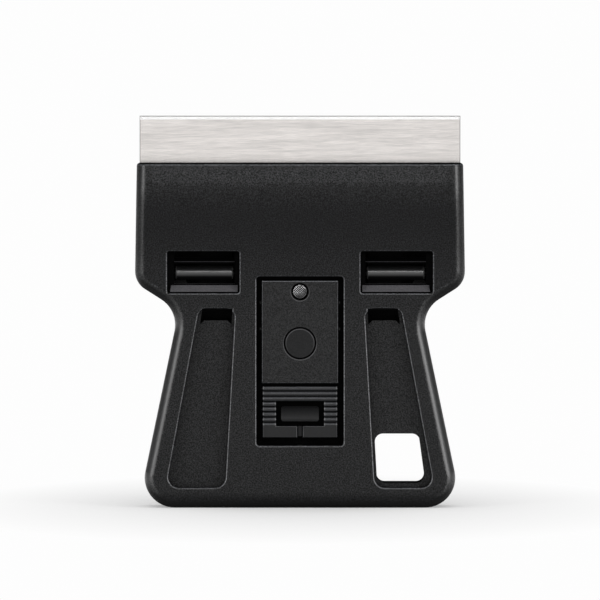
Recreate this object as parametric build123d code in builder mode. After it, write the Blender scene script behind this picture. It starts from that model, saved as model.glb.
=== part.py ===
from build123d import *
import os
from math import cos, sin, tau

# Ceramic hob scraper with a retracting blade, standing on its base with the blade up.
# X runs across the blade and Z runs up. The front faces -Y.
# Depths are counted forward from the middle plane of the body, so a larger depth is nearer the front.
# Lengths are in millimetres.

os.makedirs("parts", exist_ok=True)

# Outline of the body, seen from the front
mouth_height = 64.3
head_height = 22.35
shoulder_drop = 5.18
head_half = 30.78
head_taper = 0.35
waist_half = 22.62
base_half = 30.26
mouth_round = 0.6
shoulder_corner = 3.9
waist_corner = 5.6
base_corner = 5.6

# Thickness of the body and of its walls
body_thickness = 12.0
edge_round = 2.0
skin = 1.8
wall = 1.4
nose_height = 6.4
nose_drop = 0.9
nose_round = 40.0
back_lip_height = 1.6
back_lip_drop = 1.0
parting_depth = -1.8
seam_bevel = 0.12
rim_round = 0.3
rim_pick_gap = 0.02
wall_root = 0.3

# Blade and its travel
blade_width = 60.0
blade_height = 19.0
blade_thickness = 0.3
blade_reach = 8.75
bevel_height = 0.56
edge_thickness = 0.04
blade_gap = 0.15
blade_back_gap = 0.3
blade_slit_gap = 0.45
blade_hole_radius = 1.1
blade_hole_half_spacing = 15.0
blade_hole_drop = 14.55
travel = 9.2

# Thumb slot in the front and what shows in it
slot_half = 8.09
slot_low = 11.63
slot_rise = 1.13
slot_corner = 0.55
slot_skin = 1.2
slide_gap = 0.25
plate_side_gap = 0.98
plate_top_gap = 0.78
plate_thickness = 1.6
plate_round = 0.18
plate_hole_round = 0.1
grip_side_gap = 1.17
grip_bottom_gap = 1.47
grip_height = 9.47
grip_plate_gap = 0.63

# Ribs, window and bars of the thumb grip
rib_pitch = 0.97
rib_width = 0.8
rib_rise = 0.5
rib_count = 8
grip_round = 0.12
grip_window_half = 4.49
grip_window_low = 2.1
grip_window_high = 6.7
grip_split_half = 0.54
grip_step = 0.25
grip_stud_radius = 0.5
grip_stud_length = 1.2
grip_stud_inset_x = 0.82
grip_stud_inset_top = 1.17
grip_stud_inset_low = 1.1

# Lock button with its arm, and its spring
lock_travel = 0.6
lock_pad_half = 3.52
lock_pad_half_height = 1.4
lock_pad_corner = 0.5
lock_pad_recess = 0.25
lock_dish = 0.3
lock_dish_radius = 3.4
lock_base_half = 5.1
lock_base_half_height = 2.8
lock_base_thickness = 0.7
lock_base_gap = 0.1
lock_pocket_gap = 0.2
lock_arm_half = 0.45
lock_post_half = 0.32
lock_post_gap = 0.25
lock_post_recess = 0.1
lock_tooth_height = 0.75
lock_tooth_reach = 0.73
lock_tooth_gap = 0.2
lock_notch_half = 0.65
lock_notch_depth = 0.45
lock_notch_gap = 0.2
lock_spring_radius = 1.3
lock_spring_wire = 0.3
lock_spring_turns = 3
lock_spring_length = 2.8
lock_spring_bore_gap = 0.25

# Release button in the slide plate, and its spring
release_rivet_spacing = 9.6
release_radius = 2.8
release_ring = 0.17
release_flange_radius = 3.5
release_flange_thickness = 0.65
release_flange_gap = 0.1
release_bore_gap = 0.2
release_stem_radius = 1.0
release_stem_gap = 0.1
release_floor = 1.55
release_spring_radius = 1.9
release_spring_wire = 0.35
release_spring_turns = 2.5
stem_leaf_gap = 0.05
spring_end_gap = 0.05

# Rivet through the slide plate
rivet_drop = 2.01
rivet_head_radius = 1.35
rivet_head_gap = 0.15
rivet_head_thickness = 0.8
rivet_seat_depth = 0.95
rivet_shank_radius = 1.0
rivet_depth = 3.4
rivet_round = 0.35
plate_stud_radius = 0.8
plate_stud_length = 1.2
plate_stud_half_spacing = 4.8
plate_stud_rise = 2.4
stud_hole_gap = 0.05
stud_floor_gap = 0.1
plate_lug_reach = 0.42
plate_lug_height = 0.4
plate_lug_depth = 0.5
plate_lug_first = 3.9
plate_lug_second = 8.8

# Blade carrier
carrier_plate = 2.15
runner_thickness = 3.9
tongue_lap = 0.81
tongue_low_gap = 0.2
tongue_top_gap = 0.22
web_rise = 4.6
runner_inset = 0.33
runner_rise = 0.94
head_plate_gap = 0.63
head_plate_top_gap = 0.4
head_step_inset = 4.0
head_step = 1.05
head_rib_height = 1.5
head_rib_rise = 1.2
blade_shoulder_gap = 0.1

# Blade keeper, a sprung leaf behind the blade
keeper_thickness = 0.4
keeper_gap = 0.05
keeper_half = 4.0
keeper_head_margin = 4.0
keeper_head_height = 6.0
keeper_foot_rise = 0.3
keeper_pad_height = 3.6
keeper_corner = 1.2
nub_radius = 1.0
nub_entry = 0.45
nub_hole_gap = 0.15
nub_hole_floor_gap = 0.1
keeper_screw_half_spacing = 2.6
keeper_screw_rise = 1.8
keeper_screw_radius = 0.6
keeper_screw_gap = 0.15
keeper_screw_head_radius = 1.1
keeper_screw_head_thickness = 0.4
keeper_screw_head_gap = 0.1
keeper_screw_length = 3.2
keeper_screw_hole_gap = 0.05
keeper_drive_depth = 0.2
keeper_drive_width = 0.3

# Windows with their guide rollers
window_slot_gap = 3.22
window_side = 6.05
window_drop = 1.89
window_height = 7.74
window_corner = 0.4
roller_inner_gap = 1.16
roller_outer_gap = 1.53
roller_radius = 1.3
roller_rise = 3.74
roller_end_bevel = 0.22
roller_gap = 0.05
pin_radius = 0.5
pin_gap = 0.05
pin_end_inset = 0.25

# Cradle behind each window
cradle_rim = 0.35
cradle_side_rim = 0.31
cradle_corner = 1.0
cradle_runner_gap = 0.2
ear_roller_gap = 0.28
ear_recess = 0.1
ledge_inner_gap = 0.3
ledge_outer_gap = 0.5
ledge_rise = 0.24
ledge_height = 1.5
ledge_front_recess = 0.7
ledge_slope = 1.5
ledge_end_slant = 0.25
bar_rise = 5.54
bar_height = 1.05
bar_nose_depth = 4.45
bar_crown_depth = 3.6
bar_back_depth = 2.6
bar_edge = 0.25

# Finger pockets in the front and back
pocket_rise = 0.39
pocket_low = 3.8
pocket_guide_gap = 0.62
pocket_inner_lean = 1.86
pocket_rim_top = 3.79
pocket_rim_low = 4.54
pocket_top_corner = 1.7
pocket_low_corner = 2.0
pocket_depth = 2.3
pocket_tray = 1.2
pocket_floor = 1.5
back_pocket_depth = 1.3
back_pocket_floor = 1.2
pit_height = 2.25
pit_top_margin = 0.1
pit_side_margin = 0.5
pit_corner = 0.8

# Hanging hole through the pocket on the +X side
hole_top = 13.8
hole_low = 4.57
hole_inner_margin = 0.46
hole_outer_top_margin = 0.9
hole_outer_low_margin = 1.35
hole_corner = 1.5
hole_wall = 1.0

# Screws, bosses, guides and posts inside the body
screw_upper_inset = 3.98
screw_upper_rise = 0.95
screw_lower_height = 5.2
screw_radius = 0.9
screw_head_radius = 1.6
screw_length = 7.6
screw_pilot_gap = 0.05
screw_point = 0.5
screw_sink = 0.15
screw_end_gap = 0.5
drive_reach = 1.1
drive_width = 0.42
drive_depth = 0.7
boss_radius = 1.7
boss_tray_gap = 0.18
guide_gap = 0.2
guide_thickness = 1.2
guide_low = 8.9
guide_top_drop = 0.77
guide_parting_gap = 0.2
post_inset = 2.43
post_rise = 1.24
post_radius = 1.4
post_web_gap = 1.9
cut_overrun = 1.0

# Levels that follow from the sizes above
front_face = body_thickness / 2
back_face = -front_face
front_inside = front_face - skin
back_inside = back_face + skin
lip_inside = front_face - slot_skin
plate_face = lip_inside - slide_gap
plate_seat = plate_face - plate_thickness
rivet_seat = plate_face - rivet_seat_depth
carrier_back = parting_depth - blade_gap
blade_back = carrier_back - blade_thickness
carrier_front = carrier_back + carrier_plate
runner_front = carrier_back + runner_thickness
keeper_front = blade_back - keeper_gap
keeper_back = keeper_front - keeper_thickness
roller_depth = runner_front + roller_gap + roller_radius
cradle_back = runner_front + cradle_runner_gap
lock_base_front = plate_seat - lock_base_gap
lock_base_back = lock_base_front - lock_base_thickness
lock_pocket_floor = lock_base_back - lock_travel - lock_pocket_gap
release_flange_front = plate_seat - release_flange_gap
release_flange_back = release_flange_front - release_flange_thickness
release_bore_floor = carrier_back + release_floor
screw_face = back_face + screw_sink
screw_tip = screw_face + screw_length

# Heights that follow
shoulder_height = mouth_height - head_height
waist_height = shoulder_height - shoulder_drop
nose_bend_height = mouth_height - nose_height
slot_high = shoulder_height + slot_rise
blade_top = mouth_height + blade_reach
blade_low = blade_top - blade_height
blade_hole_height = blade_top - blade_hole_drop
blade_slit_low = blade_low - travel - blade_slit_gap
plate_high = slot_high - plate_top_gap
grip_low = slot_low + grip_bottom_gap
grip_high = grip_low + grip_height
plate_low = grip_high + grip_plate_gap
rivet_height = plate_high - rivet_drop
release_height = rivet_height - release_rivet_spacing
lock_height = grip_low + (grip_window_low + grip_window_high) / 2
lock_tooth_low = slot_low - lock_tooth_reach
lock_spring_seat = lock_base_back - lock_spring_length
window_low = shoulder_height - window_drop
window_high = window_low + window_height
roller_height = window_low + roller_rise
ledge_low = window_low + ledge_rise
ledge_top = ledge_low + ledge_height
bar_low = window_low + bar_rise
runner_low = window_low + runner_rise
web_low = runner_low + web_rise
post_height = window_low + post_rise
tongue_low = grip_low - tongue_low_gap
tongue_high = slot_high + tongue_top_gap
head_plate_top = mouth_height - wall - head_plate_top_gap
head_step_low = blade_low - head_step
keeper_foot = tongue_low + keeper_foot_rise
keeper_head_low = blade_hole_height - keeper_head_height / 2
keeper_head_high = blade_hole_height + keeper_head_height / 2
pocket_top = waist_height + pocket_rise
guide_high = waist_height - guide_top_drop


def body_side(height):
    """Half width of the body below the waist at a height."""
    return base_half + (waist_half - base_half) * height / waist_height


# Half widths that follow
mouth_half = head_half - head_taper
plate_half = slot_half - plate_side_gap
grip_half = slot_half - grip_side_gap
tongue_half = slot_half + tongue_lap
guide_inner = tongue_half + guide_gap
window_inner = slot_half + window_slot_gap
window_outer = head_half - window_side
roller_inner = window_inner + roller_inner_gap
roller_outer = window_outer - roller_outer_gap
runner_inner = roller_inner + runner_inset
post_x = window_outer - post_inset
web_half = post_x - post_radius - post_web_gap
head_plate_half = mouth_half - wall - head_plate_gap
head_step_half = head_plate_half - head_step_inset
keeper_head_half = blade_hole_half_spacing + keeper_head_margin
pocket_inner_top = guide_inner + guide_thickness + pocket_tray + pocket_guide_gap
pocket_inner_low = pocket_inner_top + pocket_inner_lean
pocket_outer_top = body_side(pocket_top) - pocket_rim_top
pocket_outer_low = body_side(pocket_low) - pocket_rim_low
screw_places = [
    (head_half - screw_upper_inset, shoulder_height + screw_upper_rise),
    (pocket_inner_low - pocket_tray - boss_radius - boss_tray_gap, screw_lower_height),
]


def at_depth(depth):
    """Plane that faces the front at a depth, with local X across and local Y up."""
    return Plane.XZ.offset(depth)


def box_sketch(depth, left, right, low, high, corner=0.0):
    """Rectangle between two sides, in either order, and two heights, with rounded corners if asked."""
    left, right = sorted((left, right))
    with BuildSketch(at_depth(depth)) as sketch:
        with Locations(((left + right) / 2, (low + high) / 2)):
            Rectangle(right - left, high - low)
        if corner > 0:
            fillet(sketch.vertices(), corner)
    return sketch.sketch


def block(front, back, left, right, low, high, corner=0.0, mode=Mode.ADD):
    """Block from its front depth to its back depth, added to or cut from the part in work."""
    extrude(box_sketch(front, left, right, low, high, corner), amount=back - front, mode=mode)


def rod(front, back, x, z, radius, mode=Mode.ADD):
    """Round rod or hole that runs from front to back."""
    with BuildSketch(at_depth(front)) as sketch:
        with Locations((x, z)):
            Circle(radius)
    extrude(sketch.sketch, amount=back - front, mode=mode)


def polygon(depth, points, corners):
    """Closed outline with a corner radius for each point."""
    with BuildSketch(at_depth(depth)) as sketch:
        with BuildLine():
            FilletPolyline(*points, radius=corners, close=True)
        make_face()
    return sketch.sketch


def cross_bar(points, left, right):
    """Bar along X whose section is given as depth and height."""
    with BuildSketch(Plane.YZ.offset(left)) as sketch:
        with BuildLine():
            Polyline(*[(-depth, height) for depth, height in points], close=True)
        make_face()
    extrude(sketch.sketch, amount=right - left)


def body_outline(depth, inset):
    """Outline of the body, drawn in by the inset."""
    half = [
        (base_half, 0),
        (waist_half, waist_height),
        (head_half, shoulder_height),
        (mouth_half, mouth_height),
    ]
    corners = [base_corner, waist_corner, shoulder_corner, 0]
    points = half + [(-x, z) for x, z in reversed(half)]
    with BuildSketch(at_depth(depth)) as sketch:
        with BuildLine():
            FilletPolyline(*points, radius=corners + corners[::-1], close=True)
        make_face()
        if inset > 0:
            offset(amount=-inset)
    return sketch.sketch


def side_profile(front, back, low, high, lip_drop):
    """Body seen from the side: the front leans back above the nose bend, the back has a small lip."""
    points = [
        (back, low),
        (front, low),
        (front, nose_bend_height),
        (front - nose_drop, high),
        (back + lip_drop, high),
        (back, high - back_lip_height),
    ]
    with BuildSketch(Plane.YZ) as sketch:
        with BuildLine():
            FilletPolyline(*[(-d, h) for d, h in points], radius=[0, 0, nose_round, 0, 0, 0], close=True)
        make_face()
    return sketch.sketch


def pocket_side(low_x, top_x, height):
    """Half width of a pocket's side at a height."""
    return low_x + (top_x - low_x) * (height - pocket_low) / (pocket_top - pocket_low)


def pocket_outline(depth, side, grow=0.0):
    """Finger pocket on one side, grown outward where a wall stands round it."""
    points = [
        (side * pocket_inner_top, pocket_top),
        (side * pocket_outer_top, pocket_top),
        (side * pocket_outer_low, pocket_low),
        (side * pocket_inner_low, pocket_low),
    ]
    corners = [pocket_top_corner, pocket_top_corner, pocket_low_corner, pocket_low_corner]
    with BuildSketch(at_depth(depth)) as sketch:
        with BuildLine():
            FilletPolyline(*points, radius=corners, close=True)
        make_face()
        if grow > 0:
            offset(amount=grow)
    return sketch.sketch


def hang_hole_outline(depth, grow=0.0):
    """Hanging hole, which follows the sides of its pocket."""
    inner_top = pocket_side(pocket_inner_low, pocket_inner_top, hole_top) + hole_inner_margin
    inner_low = pocket_side(pocket_inner_low, pocket_inner_top, hole_low) + hole_inner_margin
    outer_top = pocket_side(pocket_outer_low, pocket_outer_top, hole_top) - hole_outer_top_margin
    outer_low = pocket_side(pocket_outer_low, pocket_outer_top, hole_low) - hole_outer_low_margin
    points = [
        (inner_top, hole_top),
        (outer_top, hole_top),
        (outer_low, hole_low),
        (inner_low, hole_low),
    ]
    with BuildSketch(at_depth(depth)) as sketch:
        with BuildLine():
            FilletPolyline(*points, radius=hole_corner, close=True)
        make_face()
        if grow > 0:
            offset(amount=grow)
    return sketch.sketch


def pit_outline(depth, side):
    """Opening above the floor of a front pocket, where the floor's corners are cut off."""
    low = pocket_top - pit_height
    inner = pocket_side(pocket_inner_low, pocket_inner_top, low) + pit_side_margin
    outer = pocket_side(pocket_outer_low, pocket_outer_top, low) - pit_side_margin
    top = pocket_top - pit_top_margin
    inner_top = pocket_inner_top + pit_side_margin
    outer_top = pocket_outer_top - pit_side_margin
    points = [
        (side * inner_top, top),
        (side * outer_top, top),
        (side * outer, low - pit_corner),
        (side * (outer - pit_corner), low),
        (side * (inner + pit_corner), low),
        (side * inner, low - pit_corner),
    ]
    with BuildSketch(at_depth(depth)) as sketch:
        with BuildLine():
            Polyline(*points, close=True)
        make_face()
    return sketch.sketch


def coil(depth_low, depth_high, up, radius, wire, turns):
    """Compression spring that winds about a front to back axis, from quarter turn arcs."""
    low = depth_low + wire / 2 + spring_end_gap
    high = depth_high - wire / 2 - spring_end_gap
    quarters = int(turns * 4)

    def on_helix(quarter):
        angle = tau * quarter / 4
        depth = low + (high - low) * quarter / quarters
        return (radius * cos(angle), -depth, up + radius * sin(angle))

    with BuildLine() as path:
        for quarter in range(quarters):
            ThreePointArc(on_helix(quarter), on_helix(quarter + 0.5), on_helix(quarter + 1))
    with BuildSketch(Plane(path.line @ 0, z_dir=path.line % 0)) as section:
        Circle(wire / 2)
    sweep(section.sketch, path=path.line)


def on_rim(edge):
    """True for an edge of the front or back face, apart from the two along the mouth."""
    near_face = abs(edge.center().Y) > front_face - nose_drop - rim_round
    along_mouth = abs(edge.center().X) < rim_round and edge.center().Z > rim_round
    return near_face and not along_mouth


def on_window_rim(edge):
    """True for an edge round the front of a window, also where its corner meets the shoulder's rounding."""
    center = edge.center()
    across = window_inner - rim_pick_gap < abs(center.X) < window_outer + rim_pick_gap
    upright = window_low - rim_pick_gap < center.Z < window_high + rim_pick_gap
    return across and upright and -center.Y > front_face - rim_round


# Outer form of the whole body, from which both shells are cut
with BuildPart() as body_form:
    extrude(body_outline(front_face, 0), amount=-body_thickness)
    extrude(
        side_profile(front_face, back_face, 0, mouth_height, back_lip_drop),
        amount=head_half + cut_overrun,
        both=True,
        mode=Mode.INTERSECT,
    )
    fillet(body_form.edges().filter_by(on_rim), edge_round)
    fillet(body_form.faces().sort_by(Axis.Z)[-1].edges(), mouth_round)

# Hollow inside the body
with BuildPart() as body_hollow:
    extrude(body_outline(front_inside, wall), amount=back_inside - front_inside)
    extrude(
        side_profile(front_inside, back_inside, wall, mouth_height - wall, 0),
        amount=head_half + cut_overrun,
        both=True,
        mode=Mode.INTERSECT,
    )

# Front shell
with BuildPart() as front_shell:
    add(body_form.part)
    split(bisect_by=at_depth(parting_depth), keep=Keep.TOP)
    chamfer(front_shell.edges().group_by(Axis.Y)[-1], seam_bevel)
    add(body_hollow.part, mode=Mode.SUBTRACT)
    root_depth = front_inside + wall_root
    tray_back = front_face - pocket_depth - pocket_floor
    for side in (-1, 1):
        extrude(pocket_outline(root_depth, side, pocket_tray), amount=tray_back - root_depth)
        block(root_depth, parting_depth + guide_parting_gap, side * guide_inner,
              side * (guide_inner + guide_thickness), guide_low, guide_high)
        for x, z in screw_places:
            rod(root_depth, parting_depth, side * x, z, boss_radius)
    extrude(hang_hole_outline(root_depth, hole_wall), amount=parting_depth - root_depth)
    for side in (-1, 1):
        extrude(pocket_outline(front_face, side), amount=-pocket_depth, mode=Mode.SUBTRACT)
        extrude(pit_outline(front_face, side), amount=-body_thickness, mode=Mode.SUBTRACT)
        block(front_face, front_inside - cut_overrun, side * window_inner, side * window_outer,
              window_low, window_high, window_corner, Mode.SUBTRACT)
        for x, z in screw_places:
            rod(parting_depth, screw_tip + screw_end_gap, side * x, z, screw_radius + screw_pilot_gap,
                Mode.SUBTRACT)
    extrude(hang_hole_outline(front_face), amount=-body_thickness, mode=Mode.SUBTRACT)
    block(front_face, front_inside - cut_overrun, -slot_half, slot_half, slot_low, slot_high,
          slot_corner, Mode.SUBTRACT)
    block(lip_inside, front_inside - cut_overrun, -plate_half - slide_gap, plate_half + slide_gap,
          wall, slot_low + slot_corner, mode=Mode.SUBTRACT)
    for notch_high in (slot_low, slot_low - travel):
        block(lip_inside + lock_notch_depth, front_inside, -lock_notch_half, lock_notch_half,
              notch_high - lock_tooth_reach - lock_notch_gap, notch_high, mode=Mode.SUBTRACT)
    front_plane = front_shell.faces().filter_by(Axis.Y).sort_by(Axis.Y)[0]
    rims = [edge for wire in front_plane.inner_wires() for edge in wire.edges()]
    rims += [edge for edge in front_shell.edges().filter_by(on_window_rim)
             if not any(edge.is_same(rim) for rim in rims)]
    fillet(rims, rim_round)
front_shell.part.label = "front_shell"
export_step(front_shell.part, "parts/front_shell.step")

# Back shell
with BuildPart() as back_shell:
    add(body_form.part)
    split(bisect_by=at_depth(parting_depth), keep=Keep.BOTTOM)
    chamfer(back_shell.edges().group_by(Axis.Y)[0], seam_bevel)
    add(body_hollow.part, mode=Mode.SUBTRACT)
    root_depth = back_inside - wall_root
    tray_front = back_face + back_pocket_depth + back_pocket_floor
    for side in (-1, 1):
        extrude(pocket_outline(root_depth, side, pocket_tray), amount=tray_front - root_depth)
        rod(cradle_back, root_depth, side * post_x, post_height, post_radius)
        for x, z in screw_places:
            rod(parting_depth, root_depth, side * x, z, boss_radius)
    extrude(hang_hole_outline(root_depth, hole_wall), amount=parting_depth - root_depth)
    for side in (-1, 1):
        extrude(pocket_outline(back_face, side), amount=back_pocket_depth, mode=Mode.SUBTRACT)
    extrude(hang_hole_outline(front_face), amount=-body_thickness, mode=Mode.SUBTRACT)
    block(parting_depth, blade_back - blade_back_gap, -head_half - cut_overrun, head_half + cut_overrun,
          blade_slit_low, mouth_height + cut_overrun, mode=Mode.SUBTRACT)
    back_plane = back_shell.faces().filter_by(Axis.Y).sort_by(Axis.Y)[-1]
    fillet([edge for wire in back_plane.inner_wires() for edge in wire.edges()], rim_round)
    for side in (-1, 1):
        for x, z in screw_places:
            with Locations(Plane(origin=(side * x, -back_face, z), z_dir=(0, 1, 0))):
                CounterSinkHole(
                    radius=screw_radius + screw_pilot_gap,
                    counter_sink_radius=screw_head_radius + screw_sink + screw_pilot_gap,
                    depth=body_thickness,
                    counter_sink_angle=90,
                )
back_shell.part.label = "back_shell"
export_step(back_shell.part, "parts/back_shell.step")

# Housing screws, with crossed drive slots, which hold the shells together from the back
with BuildPart() as housing_screws:
    for side in (-1, 1):
        for x, z in screw_places:
            centre = (side * x, 0, z)
            with BuildSketch(Plane(origin=centre, x_dir=(0, -1, 0), z_dir=(-1, 0, 0))) as profile:
                with BuildLine():
                    Polyline(
                        (screw_tip, 0),
                        (screw_tip - screw_point, screw_radius),
                        (screw_face + screw_head_radius - screw_radius, screw_radius),
                        (screw_face, screw_head_radius),
                        (screw_face, 0),
                        close=True,
                    )
                make_face()
            revolve(profile.sketch, axis=Axis(centre, (0, 1, 0)))
            for reach_x, reach_z in ((drive_reach, drive_width / 2), (drive_width / 2, drive_reach)):
                block(screw_face + drive_depth, screw_face - cut_overrun, side * x - reach_x,
                      side * x + reach_x, z - reach_z, z + reach_z, mode=Mode.SUBTRACT)
housing_screws.part.label = "housing_screws"
export_step(housing_screws.part, "parts/housing_screws.step")

# Cradles, pins and guide rollers behind the two windows
cradle_inner = window_inner - cradle_side_rim
cradle_outer = window_outer + cradle_side_rim
ear_front = front_inside - ear_recess
ledge_front = front_face - ledge_front_recess
ledge_outer = window_outer - ledge_outer_gap


def turned_bar(inner, outer, side, radius, mode=Mode.ADD):
    """Round bar or hole on the roller axis of one side."""
    with BuildSketch(Plane.YZ.offset(side * inner)) as section:
        with Locations((-roller_depth, roller_height)):
            Circle(radius)
    extrude(section.sketch, amount=side * (outer - inner), mode=mode)


for side, word in ((-1, "left"), (1, "right")):
    with BuildPart() as roller_cradle:
        block(front_inside, cradle_back, side * cradle_inner, side * cradle_outer,
              window_low - cradle_rim, window_high + cradle_rim)
        low_edges = roller_cradle.edges().filter_by(Axis.Y).group_by(Axis.Z)[0]
        chamfer(low_edges.sort_by(lambda edge: abs(edge.center().X))[-1], cradle_corner)
        block(front_inside, ear_front, side * window_inner, side * window_outer,
              window_low, window_high, mode=Mode.SUBTRACT)
        block(front_inside, cradle_back, side * (roller_inner - ear_roller_gap),
              side * (roller_outer + ear_roller_gap), ledge_top, window_high, mode=Mode.SUBTRACT)
        cross_bar(
            [
                (cradle_back, ledge_low),
                (ledge_front, ledge_low),
                (ledge_front - ledge_slope, ledge_top),
                (cradle_back, ledge_top),
            ],
            side * (window_inner + ledge_inner_gap),
            side * ledge_outer,
        )
        extrude(
            polygon(
                ledge_front,
                [
                    (side * ledge_outer, ledge_low),
                    (side * (ledge_outer + ledge_end_slant), ledge_low),
                    (side * (ledge_outer + ledge_end_slant), ledge_top),
                    (side * (ledge_outer - ledge_end_slant), ledge_top),
                ],
                0,
            ),
            amount=ear_front - ledge_front,
            mode=Mode.SUBTRACT,
        )
        cross_bar(
            [
                (bar_back_depth, bar_low),
                (bar_nose_depth, bar_low),
                (bar_nose_depth, bar_low + bar_edge),
                (bar_crown_depth, bar_low + bar_height),
                (bar_back_depth, bar_low + bar_height),
            ],
            side * (roller_inner - ear_roller_gap),
            side * (roller_outer + ear_roller_gap),
        )
        turned_bar(cradle_inner, cradle_outer, side, pin_radius, Mode.SUBTRACT)
    roller_cradle.part.label = f"roller_cradle_{word}"
    export_step(roller_cradle.part, f"parts/roller_cradle_{word}.step")

    with BuildPart() as roller_pin:
        turned_bar(cradle_inner + pin_end_inset, cradle_outer - pin_end_inset, side, pin_radius)
    roller_pin.part.label = f"roller_pin_{word}"
    export_step(roller_pin.part, f"parts/roller_pin_{word}.step")

    with BuildPart() as guide_roller:
        turned_bar(roller_inner, roller_outer, side, roller_radius)
        chamfer(guide_roller.edges().filter_by(GeomType.CIRCLE), roller_end_bevel)
        turned_bar(roller_inner, roller_outer, side, pin_radius + pin_gap, Mode.SUBTRACT)
    guide_roller.part.label = f"guide_roller_{word}"
    export_step(guide_roller.part, f"parts/guide_roller_{word}.step")

# Blade carrier, which slides inside the body and holds everything that moves with the blade
nub_tip = carrier_back + nub_entry
with BuildPart() as blade_carrier:
    block(plate_seat, carrier_back, -tongue_half, tongue_half, tongue_low, tongue_high)
    block(carrier_front, carrier_back, -tongue_half, tongue_half, tongue_high, web_low)
    block(carrier_front, carrier_back, -web_half, web_half, web_low, head_step_low)
    block(carrier_front, carrier_back, -head_step_half, head_step_half, head_step_low, blade_low)
    block(carrier_front, carrier_back, -head_plate_half, head_plate_half, blade_low, head_plate_top)
    block(carrier_front + head_rib_rise, carrier_front, -head_plate_half, head_plate_half,
          head_plate_top - head_rib_height, head_plate_top)
    for side in (-1, 1):
        block(runner_front, carrier_back, side * runner_inner, side * web_half, runner_low, blade_low)
    block(carrier_back, blade_back, -head_step_half, head_step_half,
          head_step_low, blade_low - blade_shoulder_gap)
    block(carrier_back, blade_back, -keeper_half, keeper_half, tongue_low, tongue_low + keeper_pad_height)
    lock_pocket_half = lock_base_half + lock_pocket_gap
    lock_pocket_half_height = lock_base_half_height + lock_pocket_gap
    block(plate_seat, lock_pocket_floor, -lock_pocket_half, lock_pocket_half,
          lock_height - lock_pocket_half_height, lock_height + lock_pocket_half_height, mode=Mode.SUBTRACT)
    block(plate_seat, lock_pocket_floor, -lock_arm_half - lock_pocket_gap, lock_arm_half + lock_pocket_gap,
          tongue_low - cut_overrun, lock_height, mode=Mode.SUBTRACT)
    rod(lock_pocket_floor, lock_spring_seat, 0, lock_height,
        lock_spring_radius + lock_spring_wire / 2 + lock_spring_bore_gap, Mode.SUBTRACT)
    rod(plate_seat, release_bore_floor, 0, release_height,
        release_flange_radius + release_bore_gap, Mode.SUBTRACT)
    rod(release_bore_floor, carrier_back, 0, release_height,
        release_stem_radius + release_stem_gap, Mode.SUBTRACT)
    rod(plate_seat, plate_seat - rivet_depth, 0, rivet_height, rivet_shank_radius, Mode.SUBTRACT)
    for side in (-1, 1):
        rod(plate_seat, plate_seat - plate_stud_length - stud_floor_gap,
            side * plate_stud_half_spacing, plate_low + plate_stud_rise,
            plate_stud_radius + stud_hole_gap, Mode.SUBTRACT)
        for stud_height in (grip_low + grip_stud_inset_low, grip_high - grip_stud_inset_top):
            rod(plate_seat, plate_seat - grip_stud_length - stud_floor_gap,
                side * (grip_half - grip_stud_inset_x), stud_height,
                grip_stud_radius + stud_hole_gap, Mode.SUBTRACT)
        rod(nub_tip + nub_hole_floor_gap, carrier_back, side * blade_hole_half_spacing, blade_hole_height,
            nub_radius + nub_hole_gap, Mode.SUBTRACT)
        rod(keeper_back - keeper_screw_head_gap + keeper_screw_length + keeper_screw_hole_gap, blade_back,
            side * keeper_screw_half_spacing, keeper_foot + keeper_screw_rise,
            keeper_screw_radius, Mode.SUBTRACT)
blade_carrier.part.label = "blade_carrier"
export_step(blade_carrier.part, "parts/blade_carrier.step")

# Blade, ground to an edge along its top
edge_middle = (carrier_back + blade_back) / 2
with BuildPart() as blade:
    cross_bar(
        [
            (carrier_back, blade_low),
            (carrier_back, blade_top - bevel_height),
            (edge_middle + edge_thickness / 2, blade_top),
            (edge_middle - edge_thickness / 2, blade_top),
            (blade_back, blade_top - bevel_height),
            (blade_back, blade_low),
        ],
        -blade_width / 2,
        blade_width / 2,
    )
    for side in (-1, 1):
        rod(carrier_back, blade_back, side * blade_hole_half_spacing, blade_hole_height,
            blade_hole_radius, Mode.SUBTRACT)
blade.part.label = "blade"
export_step(blade.part, "parts/blade.step")

# Blade keeper, a leaf whose two nubs hold the blade by its holes
with BuildPart() as blade_keeper:
    keeper_points = [
        (-keeper_half, keeper_foot),
        (keeper_half, keeper_foot),
        (keeper_half, keeper_head_low),
        (keeper_head_half, keeper_head_low),
        (keeper_head_half, keeper_head_high),
        (-keeper_head_half, keeper_head_high),
        (-keeper_head_half, keeper_head_low),
        (-keeper_half, keeper_head_low),
    ]
    keeper_corners = [0, 0] + [keeper_corner] * 6
    extrude(polygon(keeper_front, keeper_points, keeper_corners), amount=-keeper_thickness)
    for side in (-1, 1):
        rod(nub_tip, keeper_front, side * blade_hole_half_spacing, blade_hole_height, nub_radius)
        rod(keeper_front, keeper_back, side * keeper_screw_half_spacing, keeper_foot + keeper_screw_rise,
            keeper_screw_radius + keeper_screw_gap, Mode.SUBTRACT)
blade_keeper.part.label = "blade_keeper"
export_step(blade_keeper.part, "parts/blade_keeper.step")

# Two small screws that hold the foot of the leaf
with BuildPart() as keeper_screws:
    head_under = keeper_back - keeper_screw_head_gap
    head_top = head_under - keeper_screw_head_thickness
    for side in (-1, 1):
        screw_x = side * keeper_screw_half_spacing
        screw_z = keeper_foot + keeper_screw_rise
        rod(head_under + keeper_screw_length, head_top, screw_x, screw_z, keeper_screw_radius)
        rod(head_under, head_top, screw_x, screw_z, keeper_screw_head_radius)
        block(head_top + keeper_drive_depth, head_top, screw_x - keeper_screw_head_radius,
              screw_x + keeper_screw_head_radius, screw_z - keeper_drive_width / 2,
              screw_z + keeper_drive_width / 2, mode=Mode.SUBTRACT)
keeper_screws.part.label = "keeper_screws"
export_step(keeper_screws.part, "parts/keeper_screws.step")

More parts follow.
